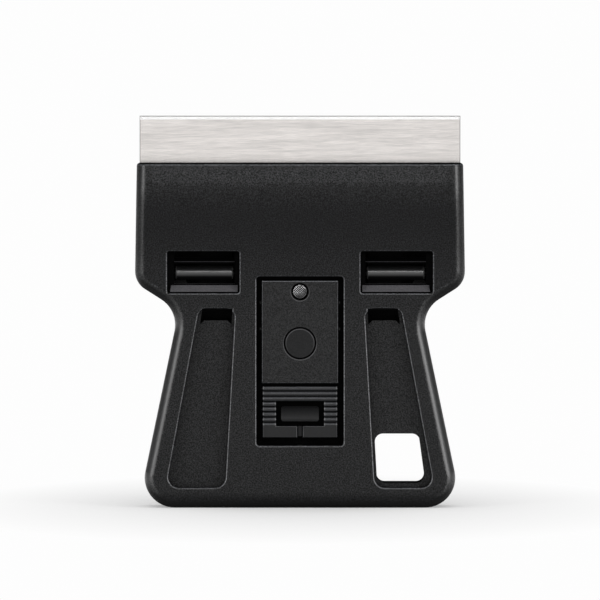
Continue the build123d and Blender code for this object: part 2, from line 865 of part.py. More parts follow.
# Slide plate, the flat cover over the carrier
with BuildPart() as slide_plate:
    block(plate_face, plate_seat, -plate_half, plate_half, plate_low, plate_high)
    fillet(slide_plate.edges().group_by(Axis.Y)[0], plate_round)
    rod(plate_face, plate_seat, 0, release_height, release_radius + release_ring, Mode.SUBTRACT)
    rod(plate_face, rivet_seat, 0, rivet_height, rivet_head_radius + rivet_head_gap, Mode.SUBTRACT)
    fillet(slide_plate.edges().filter_by(GeomType.CIRCLE).group_by(Axis.Y)[0], plate_hole_round)
    rod(plate_face, plate_seat, 0, rivet_height, rivet_shank_radius, Mode.SUBTRACT)
    for side in (-1, 1):
        rod(plate_seat, plate_seat - plate_stud_length, side * plate_stud_half_spacing,
            plate_low + plate_stud_rise, plate_stud_radius)
        for lug_drop in (plate_lug_first, plate_lug_second):
            block(plate_seat + plate_lug_depth, plate_seat, side * plate_half,
                  side * (plate_half + plate_lug_reach), plate_high - lug_drop - plate_lug_height,
                  plate_high - lug_drop)
slide_plate.part.label = "slide_plate"
export_step(slide_plate.part, "parts/slide_plate.step")

# Knurled rivet that holds the slide plate to the carrier
with BuildPart() as slide_rivet:
    rod(rivet_seat + rivet_head_thickness, rivet_seat, 0, rivet_height, rivet_head_radius)
    fillet(slide_rivet.edges().group_by(Axis.Y)[0], rivet_round)
    rod(rivet_seat, plate_seat - rivet_depth, 0, rivet_height, rivet_shank_radius)
slide_rivet.part.label = "slide_rivet"
export_step(slide_rivet.part, "parts/slide_rivet.step")

# Thumb grip with cross ribs, an opening for the lock button and a split lower bar
with BuildPart() as thumb_grip:
    rib_base = plate_face - rib_rise
    window_floor = grip_low + grip_window_low
    window_roof = grip_low + grip_window_high
    for side in (-1, 1):
        block(plate_face, plate_seat, side * grip_window_half, side * grip_half,
              grip_low, window_floor + grip_step)
        block(plate_face, plate_seat, side * grip_split_half, side * grip_window_half,
              grip_low, window_floor)
    fillet(thumb_grip.edges().group_by(Axis.Y)[0], grip_round)
    block(rib_base, plate_seat, -grip_half, grip_half, grip_low, grip_high)
    for rib in range(rib_count):
        rib_top = grip_high - rib * rib_pitch
        with BuildSketch(Plane.YZ.offset(-grip_half)) as rib_section:
            with BuildLine():
                crown = ThreePointArc(
                    (-rib_base, rib_top),
                    (-plate_face, rib_top - rib_width / 2),
                    (-rib_base, rib_top - rib_width),
                )
                Line(crown @ 1, crown @ 0)
            make_face()
        extrude(rib_section.sketch, amount=2 * grip_half)
    block(plate_face, plate_seat, -grip_window_half, grip_window_half, window_floor, window_roof,
          mode=Mode.SUBTRACT)
    block(plate_face, plate_seat, -grip_split_half, grip_split_half, grip_low, window_floor,
          mode=Mode.SUBTRACT)
    for side in (-1, 1):
        for stud_height in (grip_low + grip_stud_inset_low, grip_high - grip_stud_inset_top):
            rod(plate_seat, plate_seat - grip_stud_length, side * (grip_half - grip_stud_inset_x),
                stud_height, grip_stud_radius)
thumb_grip.part.label = "thumb_grip"
export_step(thumb_grip.part, "parts/thumb_grip.step")

# Lock button: a dished pad, an arm with a post between the bars, and a tooth behind the slot's lower lip
with BuildPart() as lock_button:
    pad_front = plate_face - lock_pad_recess
    block(pad_front, lock_base_back, -lock_pad_half, lock_pad_half,
          lock_height - lock_pad_half_height, lock_height + lock_pad_half_height, lock_pad_corner)
    with Locations(Location((0, -(pad_front + lock_dish_radius - lock_dish), lock_height), (0, 90, 0))):
        Cylinder(lock_dish_radius, 2 * lock_pad_half, mode=Mode.SUBTRACT)
    block(lock_base_front, lock_base_back, -lock_base_half, lock_base_half,
          lock_height - lock_base_half_height, lock_height + lock_base_half_height)
    block(lock_base_front, lock_base_back, -lock_arm_half, lock_arm_half, lock_tooth_low, lock_height)
    block(plate_face - lock_post_recess, lock_base_back, -lock_post_half, lock_post_half,
          grip_low + lock_post_gap, grip_low + grip_window_low)
    block(lip_inside - lock_tooth_gap, lock_base_back, -lock_arm_half, lock_arm_half,
          lock_tooth_low, lock_tooth_low + lock_tooth_height)
lock_button.part.label = "lock_button"
export_step(lock_button.part, "parts/lock_button.step")

# Release button: a flush disc with a flange behind the plate and a stem that reaches the leaf
with BuildPart() as release_button:
    rod(plate_face, release_flange_back, 0, release_height, release_radius)
    fillet(release_button.edges().group_by(Axis.Y)[0], plate_hole_round)
    rod(release_flange_front, release_flange_back, 0, release_height, release_flange_radius)
    rod(release_flange_back, keeper_front + stem_leaf_gap, 0, release_height, release_stem_radius)
release_button.part.label = "release_button"
export_step(release_button.part, "parts/release_button.step")

# Springs under the two buttons
with BuildPart() as lock_spring:
    coil(lock_spring_seat, lock_base_back, lock_height,
         lock_spring_radius, lock_spring_wire, lock_spring_turns)
lock_spring.part.label = "lock_spring"
export_step(lock_spring.part, "parts/lock_spring.step")

with BuildPart() as release_spring:
    coil(release_bore_floor, release_flange_back, release_height,
         release_spring_radius, release_spring_wire, release_spring_turns)
release_spring.part.label = "release_spring"
export_step(release_spring.part, "parts/release_spring.step")
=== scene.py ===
# Finishes, knurled rivet and studio for the ceramic hob scraper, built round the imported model.
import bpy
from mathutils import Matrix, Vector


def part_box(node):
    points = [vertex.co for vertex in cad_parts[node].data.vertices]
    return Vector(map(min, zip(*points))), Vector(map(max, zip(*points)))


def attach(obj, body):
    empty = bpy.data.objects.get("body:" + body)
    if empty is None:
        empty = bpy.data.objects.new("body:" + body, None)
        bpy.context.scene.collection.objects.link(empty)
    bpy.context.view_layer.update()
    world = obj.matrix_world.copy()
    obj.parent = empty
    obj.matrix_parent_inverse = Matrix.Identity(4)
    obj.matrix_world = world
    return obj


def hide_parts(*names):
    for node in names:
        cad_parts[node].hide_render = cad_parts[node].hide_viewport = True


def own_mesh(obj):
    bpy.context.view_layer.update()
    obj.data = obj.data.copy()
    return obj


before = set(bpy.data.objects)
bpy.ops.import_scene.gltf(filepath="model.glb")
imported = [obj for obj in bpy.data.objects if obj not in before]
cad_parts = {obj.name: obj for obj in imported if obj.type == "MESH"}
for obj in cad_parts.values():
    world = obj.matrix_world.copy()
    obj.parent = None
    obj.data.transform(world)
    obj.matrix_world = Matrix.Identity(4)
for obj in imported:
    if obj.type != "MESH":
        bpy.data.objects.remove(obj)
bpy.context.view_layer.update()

from functools import partial, reduce
import math

import bmesh
import bpy
from bpy.props import FloatProperty, FloatVectorProperty, PointerProperty
from mathutils import Vector

bl_info = {
    "name": "Ceramic hob scraper",
    "version": (1, 0, 0),
    "blender": (4, 5, 0),
    "location": "3D View > Sidebar > Scraper",
    "description": "Finishes, knurled rivet and studio for a hob scraper with a retracting blade",
    "category": "Object",
}

MM = 0.001
RIVET_LOW, RIVET_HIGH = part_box("slide_rivet")
BLADE_LOW, BLADE_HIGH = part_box("blade")
ROLLER_LOW, ROLLER_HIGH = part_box("guide_roller_right")
DISC_LOW, DISC_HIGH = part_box("release_button")


def middle(low, high):
    """Centre of a box across the face, in X and Z."""
    return ((low[0] + high[0]) / 2, (low[2] + high[2]) / 2)


# Round gaps in the plate, each with its centre and radius
DISC_GAP = (*middle(DISC_LOW, DISC_HIGH), 2.88 * MM)
RIVET_GAP = (*middle(RIVET_LOW, RIVET_HIGH), 1.49 * MM)
# Springs, each with the joint that presses it and how far, and 0.03 mm more so that it stays clear
BUTTON_SPRINGS = (
    ("lock_spring", "lock_press", 0.63 * MM),
    ("release_spring", "release_press", 0.48 * MM),
)
# Heights of the places on the cradles painted lighter as highlights: the ledge under the roller, and the
# lower edge of the bar over it
LEDGE_TOP = 42.1 * MM
BAR_EDGE_LOW, BAR_EDGE_HIGH = 45.72 * MM, 45.98 * MM
# Bands at the ends of the grip's ribs painted light as highlights: distance from the centre line, and lower
# and upper end
RIB_ENDS = ((6.82 * MM, 15.3 * MM, 23.0 * MM), (4.59 * MM, 15.3 * MM, 19.9 * MM))

CLOUD_SCALE = 170.0  # soft clouds of the moulded surface in a metre
PLATE_GRAIN = 0.85  # grain size of the plate and the disc, to that of the shells
SMALL_PART_GRAIN = 0.4  # grain depth of the grip, the lock button and the cradles, to that of the shells
SCRATCH_DEPTH = 0.002 * MM

DARK_PLASTIC = (0.014, 0.014, 0.015, 1.0)
# Near-black painted as shade on walls, the mouth edge, down-facing faces and deep grooves
SHADE_BLACK_PAINTED = (0.0006, 0.0006, 0.0006, 1.0)
# Black painted as the shade seen through the windows, on the back shell's faces that look forward
INSIDE_SHADE_PAINTED = (0.0004, 0.0004, 0.0004, 1.0)
# Painted shadow line in the round gaps
GAP_SHADOW_PAINTED = (0.0003, 0.0003, 0.0003, 1.0)
# Light painted beside the round gaps as a highlight
GAP_HIGHLIGHT_PAINTED = (0.075, 0.075, 0.078, 1.0)
# Grey painted on the cradle's ledge and bar edge as a highlight
LEDGE_HIGHLIGHT_PAINTED = (0.088, 0.086, 0.092, 1.0)
# Light painted on the ends of the grip's ribs as a highlight
RIB_END_HIGHLIGHT_PAINTED = (0.16, 0.16, 0.165, 1.0)
# Dark painted as shade in the rivet's grooves and over its lower right
RIVET_SHADE_PAINTED = (0.02, 0.02, 0.021, 1.0)
# Ground bevel, painted lighter as a highlight; the two colours below are a dark line along the edge and
# darker ends, painted as shade
BLADE_BEVEL_HIGHLIGHT = (0.92, 0.915, 0.91, 1.0)
BLADE_EDGE_SHADE = (0.22, 0.215, 0.21, 1.0)
BLADE_END_SHADE = (0.40, 0.395, 0.39, 1.0)
PIN_STEEL = (0.004, 0.004, 0.004)
LEAF_STEEL = (0.50, 0.50, 0.515)
SCREW_STEEL = (0.19, 0.19, 0.20)
WIRE_STEEL = (0.53, 0.53, 0.54)
RIVET_STEEL = (0.70, 0.70, 0.71)

# Rivet mesh: points round it, and rings over its knurled top and its rounding
RIVET_SEGMENTS, TOP_RINGS, ROUND_RINGS = 192, 44, 12


# ---------------------------------------------------------------- settings

class ScraperFinishSettings(bpy.types.PropertyGroup):
    """Colours and grain of the plastics and steels."""

    shell_color: FloatVectorProperty(
        name="Shells", description="Near-black plastic of the two body shells",
        subtype="COLOR", min=0.0, max=1.0, default=(0.0060, 0.0062, 0.0067))
    slide_color: FloatVectorProperty(
        name="Slide", description="Near-black plastic of the plate, the grip and the release button",
        subtype="COLOR", min=0.0, max=1.0, default=(0.0062, 0.0064, 0.0069))
    button_color: FloatVectorProperty(
        name="Lock button", description="Satin plastic of the lock button",
        subtype="COLOR", min=0.0, max=1.0, default=(0.0060, 0.0062, 0.0067))
    # Near-black, standing in for the shade inside the windows
    cradle_color: FloatVectorProperty(
        name="Cradles", description="Plastic of the cradles behind the windows",
        subtype="COLOR", min=0.0, max=1.0, default=(0.0012, 0.0012, 0.0013))
    roller_color: FloatVectorProperty(
        name="Rollers", description="Turned plastic of the guide rollers",
        subtype="COLOR", min=0.0, max=1.0, default=(0.0030, 0.0030, 0.0032))
    # Near-black and matt, standing in for the shade inside the windows and the slot
    carrier_color: FloatVectorProperty(
        name="Blade carrier", description="Black slide that carries the blade",
        subtype="COLOR", min=0.0, max=1.0, default=(0.0012, 0.0012, 0.0013))
    blade_color: FloatVectorProperty(
        name="Blade", description="Brushed face of the blade",
        subtype="COLOR", min=0.0, max=1.0, default=(0.745, 0.712, 0.690))
    grain_size: FloatProperty(
        name="Grain size", description="Width of one grain of the moulded surface",
        subtype="DISTANCE", min=0.05 * MM, max=2.0 * MM, default=0.25 * MM)
    grain_depth: FloatProperty(
        name="Grain depth", description="Depth of the grain of the moulded surface",
        subtype="DISTANCE", min=0.0, max=0.3 * MM, default=0.075 * MM)


class ScraperRivetSettings(bpy.types.PropertyGroup):
    """Sizes of the knurled rivet in the slide plate."""

    head_radius: FloatProperty(
        name="Head radius", description="Radius of the rivet's head",
        subtype="DISTANCE", min=0.5 * MM, max=5.0 * MM, default=(RIVET_HIGH[0] - RIVET_LOW[0]) / 2)
    head_thickness: FloatProperty(
        name="Head thickness", description="From the seat to the top of the knurl",
        subtype="DISTANCE", min=0.2 * MM, max=3.0 * MM, default=0.8 * MM)
    head_round: FloatProperty(
        name="Head rounding", description="Rounding between the head's top and its side",
        subtype="DISTANCE", min=0.05 * MM, max=0.8 * MM, default=0.22 * MM)
    head_dome: FloatProperty(
        name="Head dome", description="Height of the head's dome above its edge",
        subtype="DISTANCE", min=0.0, max=0.8 * MM, default=0.34 * MM)
    shank_radius: FloatProperty(
        name="Shank radius", description="Radius of the shank in the carrier",
        subtype="DISTANCE", min=0.3 * MM, max=4.0 * MM, default=1.0 * MM)
    knurl_pitch: FloatProperty(
        name="Knurl pitch", description="Width of one diamond of the knurl",
        subtype="DISTANCE", min=0.1 * MM, max=1.0 * MM, default=0.31 * MM)
    knurl_depth: FloatProperty(
        name="Knurl depth", description="Depth of the grooves between the diamonds",
        subtype="DISTANCE", min=0.0, max=0.3 * MM, default=0.05 * MM)


class ScraperStudioSettings(bpy.types.PropertyGroup):
    """Floor, lamps and camera."""

    camera_distance: FloatProperty(
        name="Camera distance", description="From the camera to the middle of the view",
        subtype="DISTANCE", min=0.3, max=5.0, default=1.6)
    camera_tilt: FloatProperty(
        name="Camera tilt", description="Height of the camera above the middle of the view, as an angle",
        subtype="ANGLE", min=0.0, max=1.5, default=math.radians(1.5))
    view_width: FloatProperty(
        name="View width", description="Width that the picture shows at the middle of the view",
        subtype="DISTANCE", min=0.02, max=2.0, default=111.8 * MM)
    view_height: FloatProperty(
        name="View middle", description="Height of the middle of the picture above the floor",
        subtype="DISTANCE", min=0.0, max=1.0, default=38.76 * MM)
    floor_color: FloatVectorProperty(
        name="Floor", description="Colour of the pale floor",
        subtype="COLOR", min=0.0, max=1.0, default=(0.93, 0.93, 0.93))
    sky_strength: FloatProperty(
        name="Soft light", description="Strength of the even light from all round",
        min=0.0, max=2.0, default=0.30)
    strip_strength: FloatProperty(
        name="Strip lamps", description="Brightness of the two tall strip lamps",
        min=0.0, max=100.0, default=3.4)
    front_strength: FloatProperty(
        name="Front lamp", description="Brightness of the low wide lamp in front",
        min=0.0, max=100.0, default=4.4)
    top_strength: FloatProperty(
        name="Top lamp", description="Brightness of the large soft lamp overhead",
        min=0.0, max=100.0, default=1.2)


# ---------------------------------------------------------------- node helpers

def add_node(tree, kind, place=(0, 0), **settings):
    """New node with its settings, such as an operation or data type."""
    node = tree.nodes.new(kind)
    node.location = place
    for name, value in settings.items():
        setattr(node, name, value)
    return node


def link(tree, source, target):
    tree.links.new(source, target)


def feed(tree, target, value):
    """Links a socket to a socket, or sets a plain number, colour or vector on it."""
    if isinstance(value, bpy.types.NodeSocket):
        link(tree, value, target)
    else:
        target.default_value = value


def feed_all(tree, node, **values):
    """Feeds a node's inputs by their labels, with _ for each space."""
    for label, value in values.items():
        feed(tree, node.inputs[label.replace("_", " ")], value)


def calculate(tree, operation, *values, clamp=False):
    """Math node on sockets or plain numbers."""
    node = add_node(tree, "ShaderNodeMath", operation=operation, use_clamp=clamp)
    for socket, value in zip(node.inputs, values):
        feed(tree, socket, value)
    return node.outputs[0]


def times(tree, *values):
    """Product of two or more values."""
    return reduce(partial(calculate, tree, "MULTIPLY"), values)


def largest(tree, *values):
    """Largest of two or more values."""
    return reduce(partial(calculate, tree, "MAXIMUM"), values)


def plus(tree, first, second):
    return calculate(tree, "ADD", first, second)


def minus(tree, first, second):
    return calculate(tree, "SUBTRACT", first, second)


def unsigned(tree, value):
    return calculate(tree, "ABSOLUTE", value)


def sum_of_squares(tree, first, second):
    return plus(tree, times(tree, first, first), times(tree, second, second))


def spread(tree, value, low, high, to_low=0.0, to_high=1.0):
    """Map range, clamped to its ends."""
    node = add_node(tree, "ShaderNodeMapRange", clamp=True)
    feed_all(tree, node, Value=value, From_Min=low, From_Max=high, To_Min=to_low, To_Max=to_high)
    return node.outputs["Result"]


def masked(tree, mask, outside, inside):
    """Value outside a mask that goes over into another inside it."""
    return spread(tree, mask, 0.0, 1.0, outside, inside)


def blend_values(tree, factor, first, second):
    return plus(tree, first, times(tree, factor, minus(tree, second, first)))


def blend_colors(tree, factor, first, second, mode="MIX"):
    node = add_node(tree, "ShaderNodeMix", data_type="RGBA", blend_type=mode)
    feed(tree, node.inputs["Factor"], factor)
    feed(tree, node.inputs[6], first)
    feed(tree, node.inputs[7], second)
    return node.outputs[2]


def grey_color(tree, value):
    """Grey of a value, as a colour."""
    node = add_node(tree, "ShaderNodeCombineColor")
    for socket in node.inputs:
        feed(tree, socket, value)
    return node.outputs[0]


def shaded(tree, color, value):
    """Colour made lighter or darker by a value."""
    return blend_colors(tree, 1.0, color, grey_color(tree, value), "MULTIPLY")


def noise(tree, vector, scale, detail=2.0, roughness=0.5):
    node = add_node(tree, "ShaderNodeTexNoise")
    feed_all(tree, node, Vector=vector, Scale=scale, Detail=detail, Roughness=roughness)
    return node.outputs["Fac"]


def scaled(tree, vector, scale):
    """Vector multiplied by another vector, side by side."""
    node = add_node(tree, "ShaderNodeVectorMath", operation="MULTIPLY")
    feed(tree, node.inputs[0], vector)
    feed(tree, node.inputs[1], scale)
    return node.outputs[0]


def object_place(tree):
    """Place of a point in the part's own frame, in metres."""
    return add_node(tree, "ShaderNodeTexCoord").outputs["Object"]


def split(tree, vector):
    """X, Y and Z of a vector, by name."""
    node = add_node(tree, "ShaderNodeSeparateXYZ")
    link(tree, vector, node.inputs[0])
    return node.outputs


def place_parts(tree):
    return split(tree, object_place(tree))


def normal_parts(tree):
    """X, Y and Z of the direction in which the surface looks, by name."""
    return split(tree, add_node(tree, "ShaderNodeTexCoord").outputs["Normal"])


def new_group(name, inputs, outputs):
    """Shader node group with named sockets. Returns the tree, its inputs by name and its output node."""
    tree = bpy.data.node_groups.new(name, "ShaderNodeTree")
    for label, kind, default in inputs:
        socket = tree.interface.new_socket(name=label, in_out="INPUT", socket_type=kind)
        socket.default_value = default
    for label, kind in outputs:
        tree.interface.new_socket(name=label, in_out="OUTPUT", socket_type=kind)
    source = add_node(tree, "NodeGroupInput", (-900, 0))
    result = add_node(tree, "NodeGroupOutput", (900, 0))
    return tree, source.outputs, result


def shared_effect(name):
    """Marks the builder of a node group, which is built under this name at its first use only."""
    def keep(build):
        def find():
            return bpy.data.node_groups.get(name) or build(name)
        return find
    return keep


FLOAT = "NodeSocketFloat"
COLOR = "NodeSocketColor"
VECTOR = "NodeSocketVector"


# ---------------------------------------------------------------- shared effects

@shared_effect("Moulded Grain")
def moulded_grain_group(name):
    """Spark-eroded grain: fine pits, soft clouds of lighter and darker plastic, and uneven gloss."""
    tree, given, result = new_group(
        name,
        [("Color", COLOR, DARK_PLASTIC), ("Fleck", FLOAT, 0.3), ("Cloud", FLOAT, 0.2),
         ("Grain Scale", FLOAT, 3000.0), ("Roughness", FLOAT, 0.5), ("Roughness Spread", FLOAT, 0.04)],
        [("Color", COLOR), ("Roughness", FLOAT), ("Height", FLOAT), ("Shade", FLOAT)])
    place = object_place(tree)
    grain = noise(tree, place, given["Grain Scale"], detail=3.0, roughness=0.55)
    pits = noise(tree, place, times(tree, given["Grain Scale"], 1.7))
    cloud = noise(tree, place, CLOUD_SCALE, detail=3.0, roughness=0.6)
    fleck = spread(tree, plus(tree, grain, pits), 0.80, 1.35, -0.58, 0.87)
    patch = spread(tree, cloud, 0.3, 0.7, -1.0, 1.0)
    shade = plus(tree, times(tree, fleck, given["Fleck"]), times(tree, patch, given["Cloud"]))
    shade = largest(tree, plus(tree, shade, 1.0), 0.1)
    feed_all(
        tree, result, Shade=shade, Color=shaded(tree, given["Color"], shade),
        Roughness=plus(tree, given["Roughness"], times(tree, patch, given["Roughness Spread"])),
        Height=plus(tree, grain, times(tree, pits, 0.8)))
    return tree


@shared_effect("Rim Polish And Painted Highlight")
def rim_polish_highlight_group(name):
    """Rounded edges that handling and the mould leave smoother than the flats, painted a little lighter as a
    highlight. Mask is how much of a rim a point is and Gloss how glossy the surface is, and both fade where
    it looks down, away from the light."""
    tree, given, result = new_group(
        name,
        [("Color", COLOR, DARK_PLASTIC), ("Rim Color", COLOR, (0.03, 0.03, 0.03, 1.0)),
         ("Roughness", FLOAT, 0.5), ("Rim Roughness", FLOAT, 0.35)],
        [("Color", COLOR), ("Roughness", FLOAT), ("Mask", FLOAT), ("Gloss", FLOAT)])
    normal = normal_parts(tree)
    widest = largest(tree, *(unsigned(tree, part) for part in normal))
    mask = times(tree, spread(tree, minus(tree, 1.0, widest), 0.006, 0.045),
                 spread(tree, normal["Z"], -0.7, -0.02))
    feed_all(
        tree, result, Mask=mask, Gloss=spread(tree, normal["Z"], -0.5, -0.03),
        Color=blend_colors(tree, mask, given["Color"], given["Rim Color"]),
        Roughness=blend_values(tree, mask, given["Roughness"], given["Rim Roughness"]))
    return tree


@shared_effect("Body Zone")
def body_zone_group(name):
    """Where a point of the shells lies: Inner is the part inside the large outer rounding and the lip, where
    small rims get a painted highlight, Head runs from the grip to the head, Mouth is the edge that turns into
    the blade's slot, painted black as a shadow line, Foot is the rounding above the base, and Wall is a side
    of the slot, the windows, the pockets and the hole, painted black as shade."""
    tree, given, result = new_group(
        name,
        [("Base Half", FLOAT, 26.4 * MM), ("Waist Half", FLOAT, 20.2 * MM), ("Head Half", FLOAT, 27.7 * MM),
         ("Waist Height", FLOAT, 37.8 * MM), ("Head Height", FLOAT, 41.6 * MM),
         ("Lip Height", FLOAT, 63.7 * MM), ("Mouth Height", FLOAT, 64.0 * MM),
         ("Foot Height", FLOAT, 3.0 * MM)],
        [("Inner", FLOAT), ("Head", FLOAT), ("Mouth", FLOAT), ("Foot", FLOAT), ("Wall", FLOAT)])
    place = place_parts(tree)
    height = place["Z"]
    lower = spread(tree, height, 0.0, given["Waist Height"], given["Base Half"], given["Waist Half"])
    wider = minus(tree, given["Head Half"], given["Waist Half"])
    upper = spread(tree, height, given["Waist Height"], given["Head Height"], 0.0, wider)
    half = plus(tree, lower, upper)
    inside = spread(tree, minus(tree, half, unsigned(tree, place["X"])), 0.0, 0.4 * MM)
    above = spread(tree, minus(tree, height, given["Foot Height"]), 0.0, 0.4 * MM)
    inner = times(tree, inside, above)
    lip = spread(tree, minus(tree, height, given["Lip Height"]), 0.0, 0.2 * MM)
    side = spread(tree, unsigned(tree, normal_parts(tree)["Y"]), 0.56, 0.40)
    feed_all(
        tree, result, Inner=largest(tree, inner, lip), Head=spread(tree, height, 34.0 * MM, 52.0 * MM),
        Mouth=spread(tree, minus(tree, height, given["Mouth Height"]), 0.0, 0.08 * MM),
        Foot=spread(tree, height, given["Foot Height"], 1.9 * MM), Wall=times(tree, side, inner))
    return tree


@shared_effect("Round Gap")
def round_gap_group(name):
    """Painted shadow line of a round gap with a painted highlight edge beside it. Where Light Below is 1 the
    highlight lies outside the gap and fades towards its top, and where it is 0 inside the gap, fading to its
    bottom."""
    tree, given, result = new_group(
        name,
        [("Centre X", FLOAT, 0.0), ("Centre Z", FLOAT, 0.0), ("Radius", FLOAT, 3.0 * MM),
         ("Width", FLOAT, 0.34 * MM), ("Light Below", FLOAT, 1.0)],
        [("Dark", FLOAT), ("Light", FLOAT)])
    place = place_parts(tree)
    across = minus(tree, place["X"], given["Centre X"])
    up = minus(tree, place["Z"], given["Centre Z"])
    away = calculate(tree, "SQRT", sum_of_squares(tree, across, up))
    half = times(tree, given["Width"], 0.5)
    off = unsigned(tree, minus(tree, away, given["Radius"]))
    side = masked(tree, given["Light Below"], -1.0, 1.0)
    line = plus(tree, given["Radius"], times(tree, side, plus(tree, half, 0.08 * MM)))
    near = spread(tree, unsigned(tree, minus(tree, away, line)), 0.12 * MM, 0.04 * MM)
    turned = calculate(tree, "DIVIDE", times(tree, up, side), away)
    feed_all(
        tree, result, Dark=spread(tree, minus(tree, off, half), 0.04 * MM, -0.02 * MM),
        Light=times(tree, near, spread(tree, turned, 0.75, -0.5)))
    return tree


@shared_effect("Deep Painted Shade")
def deep_shade_group(name):
    """Faces that lie deep inside are painted black as shade and lose their gloss, only the ones in reach have
    a finish.
    """
    tree, given, result = new_group(
        name,
        [("Color", COLOR, DARK_PLASTIC), ("Deep Color", COLOR, (0.001, 0.001, 0.001, 1.0)),
         ("Depth", FLOAT, -3.5 * MM), ("Fade", FLOAT, 0.3 * MM)],
        [("Color", COLOR), ("Mask", FLOAT)])
    end = plus(tree, given["Depth"], given["Fade"])
    depth_shade = spread(tree, place_parts(tree)["Y"], given["Depth"], end)
    feed_all(
        tree, result, Color=blend_colors(tree, depth_shade, given["Color"], given["Deep Color"]),
        Mask=minus(tree, 1.0, depth_shade))
    return tree


@shared_effect("Brushed Steel")
def brushed_steel_group(name):
    """Fine parallel scratches with longer soft bands, stretched along one direction."""
    tree, given, result = new_group(
        name,
        [("Color", COLOR, (0.6, 0.6, 0.6, 1.0)), ("Stretch", VECTOR, (250.0, 5000.0, 5000.0)),
         ("Depth", FLOAT, 0.12), ("Roughness", FLOAT, 0.3), ("Roughness Spread", FLOAT, 0.08)],
        [("Color", COLOR), ("Roughness", FLOAT), ("Height", FLOAT)])
    lane = scaled(tree, object_place(tree), given["Stretch"])
    fine = noise(tree, lane, 1.0, detail=4.0, roughness=0.65)
    wide = noise(tree, lane, 0.35, detail=3.0, roughness=0.6)
    streak = plus(tree, spread(tree, fine, 0.25, 0.75, -1.0, 1.0), spread(tree, wide, 0.3, 0.7, -0.8, 0.8))
    shade = plus(tree, times(tree, streak, given["Depth"]), 1.0)
    feed_all(
        tree, result, Color=shaded(tree, given["Color"], shade), Height=fine,
        Roughness=plus(tree, given["Roughness"], times(tree, streak, given["Roughness Spread"])))
    return tree


# ---------------------------------------------------------------- materials

def place_group(tree, group, **values):
    """Node of a shared effect in a material, with its own values."""
    node = add_node(tree, "ShaderNodeGroup", (-300, 0), node_tree=group)
    feed_all(tree, node, **values)
    return node.outputs


def solid(color):
    """Colour with full alpha."""
    return (color[0], color[1], color[2], 1.0)


def start_material(name):
    """Empty material with its surface shader. Returns the material, its tree and the shader."""
    material = bpy.data.materials.new(name)
    material.use_nodes = True
    tree = material.node_tree
    tree.nodes.clear()
    shader = add_node(tree, "ShaderNodeBsdfPrincipled", (300, 0))
    output = add_node(tree, "ShaderNodeOutputMaterial", (600, 0))
    link(tree, shader.outputs[0], output.inputs["Surface"])
    return material, tree, shader


def dress(tree, shader, height, depth, **values):
    """Feeds the shader's inputs and raises its surface with a bump of a real depth."""
    feed_all(tree, shader, **values)
    bump = add_node(tree, "ShaderNodeBump", (0, -300))
    feed_all(tree, bump, Strength=1.0, Distance=depth, Height=height)
    link(tree, bump.outputs[0], shader.inputs["Normal"])


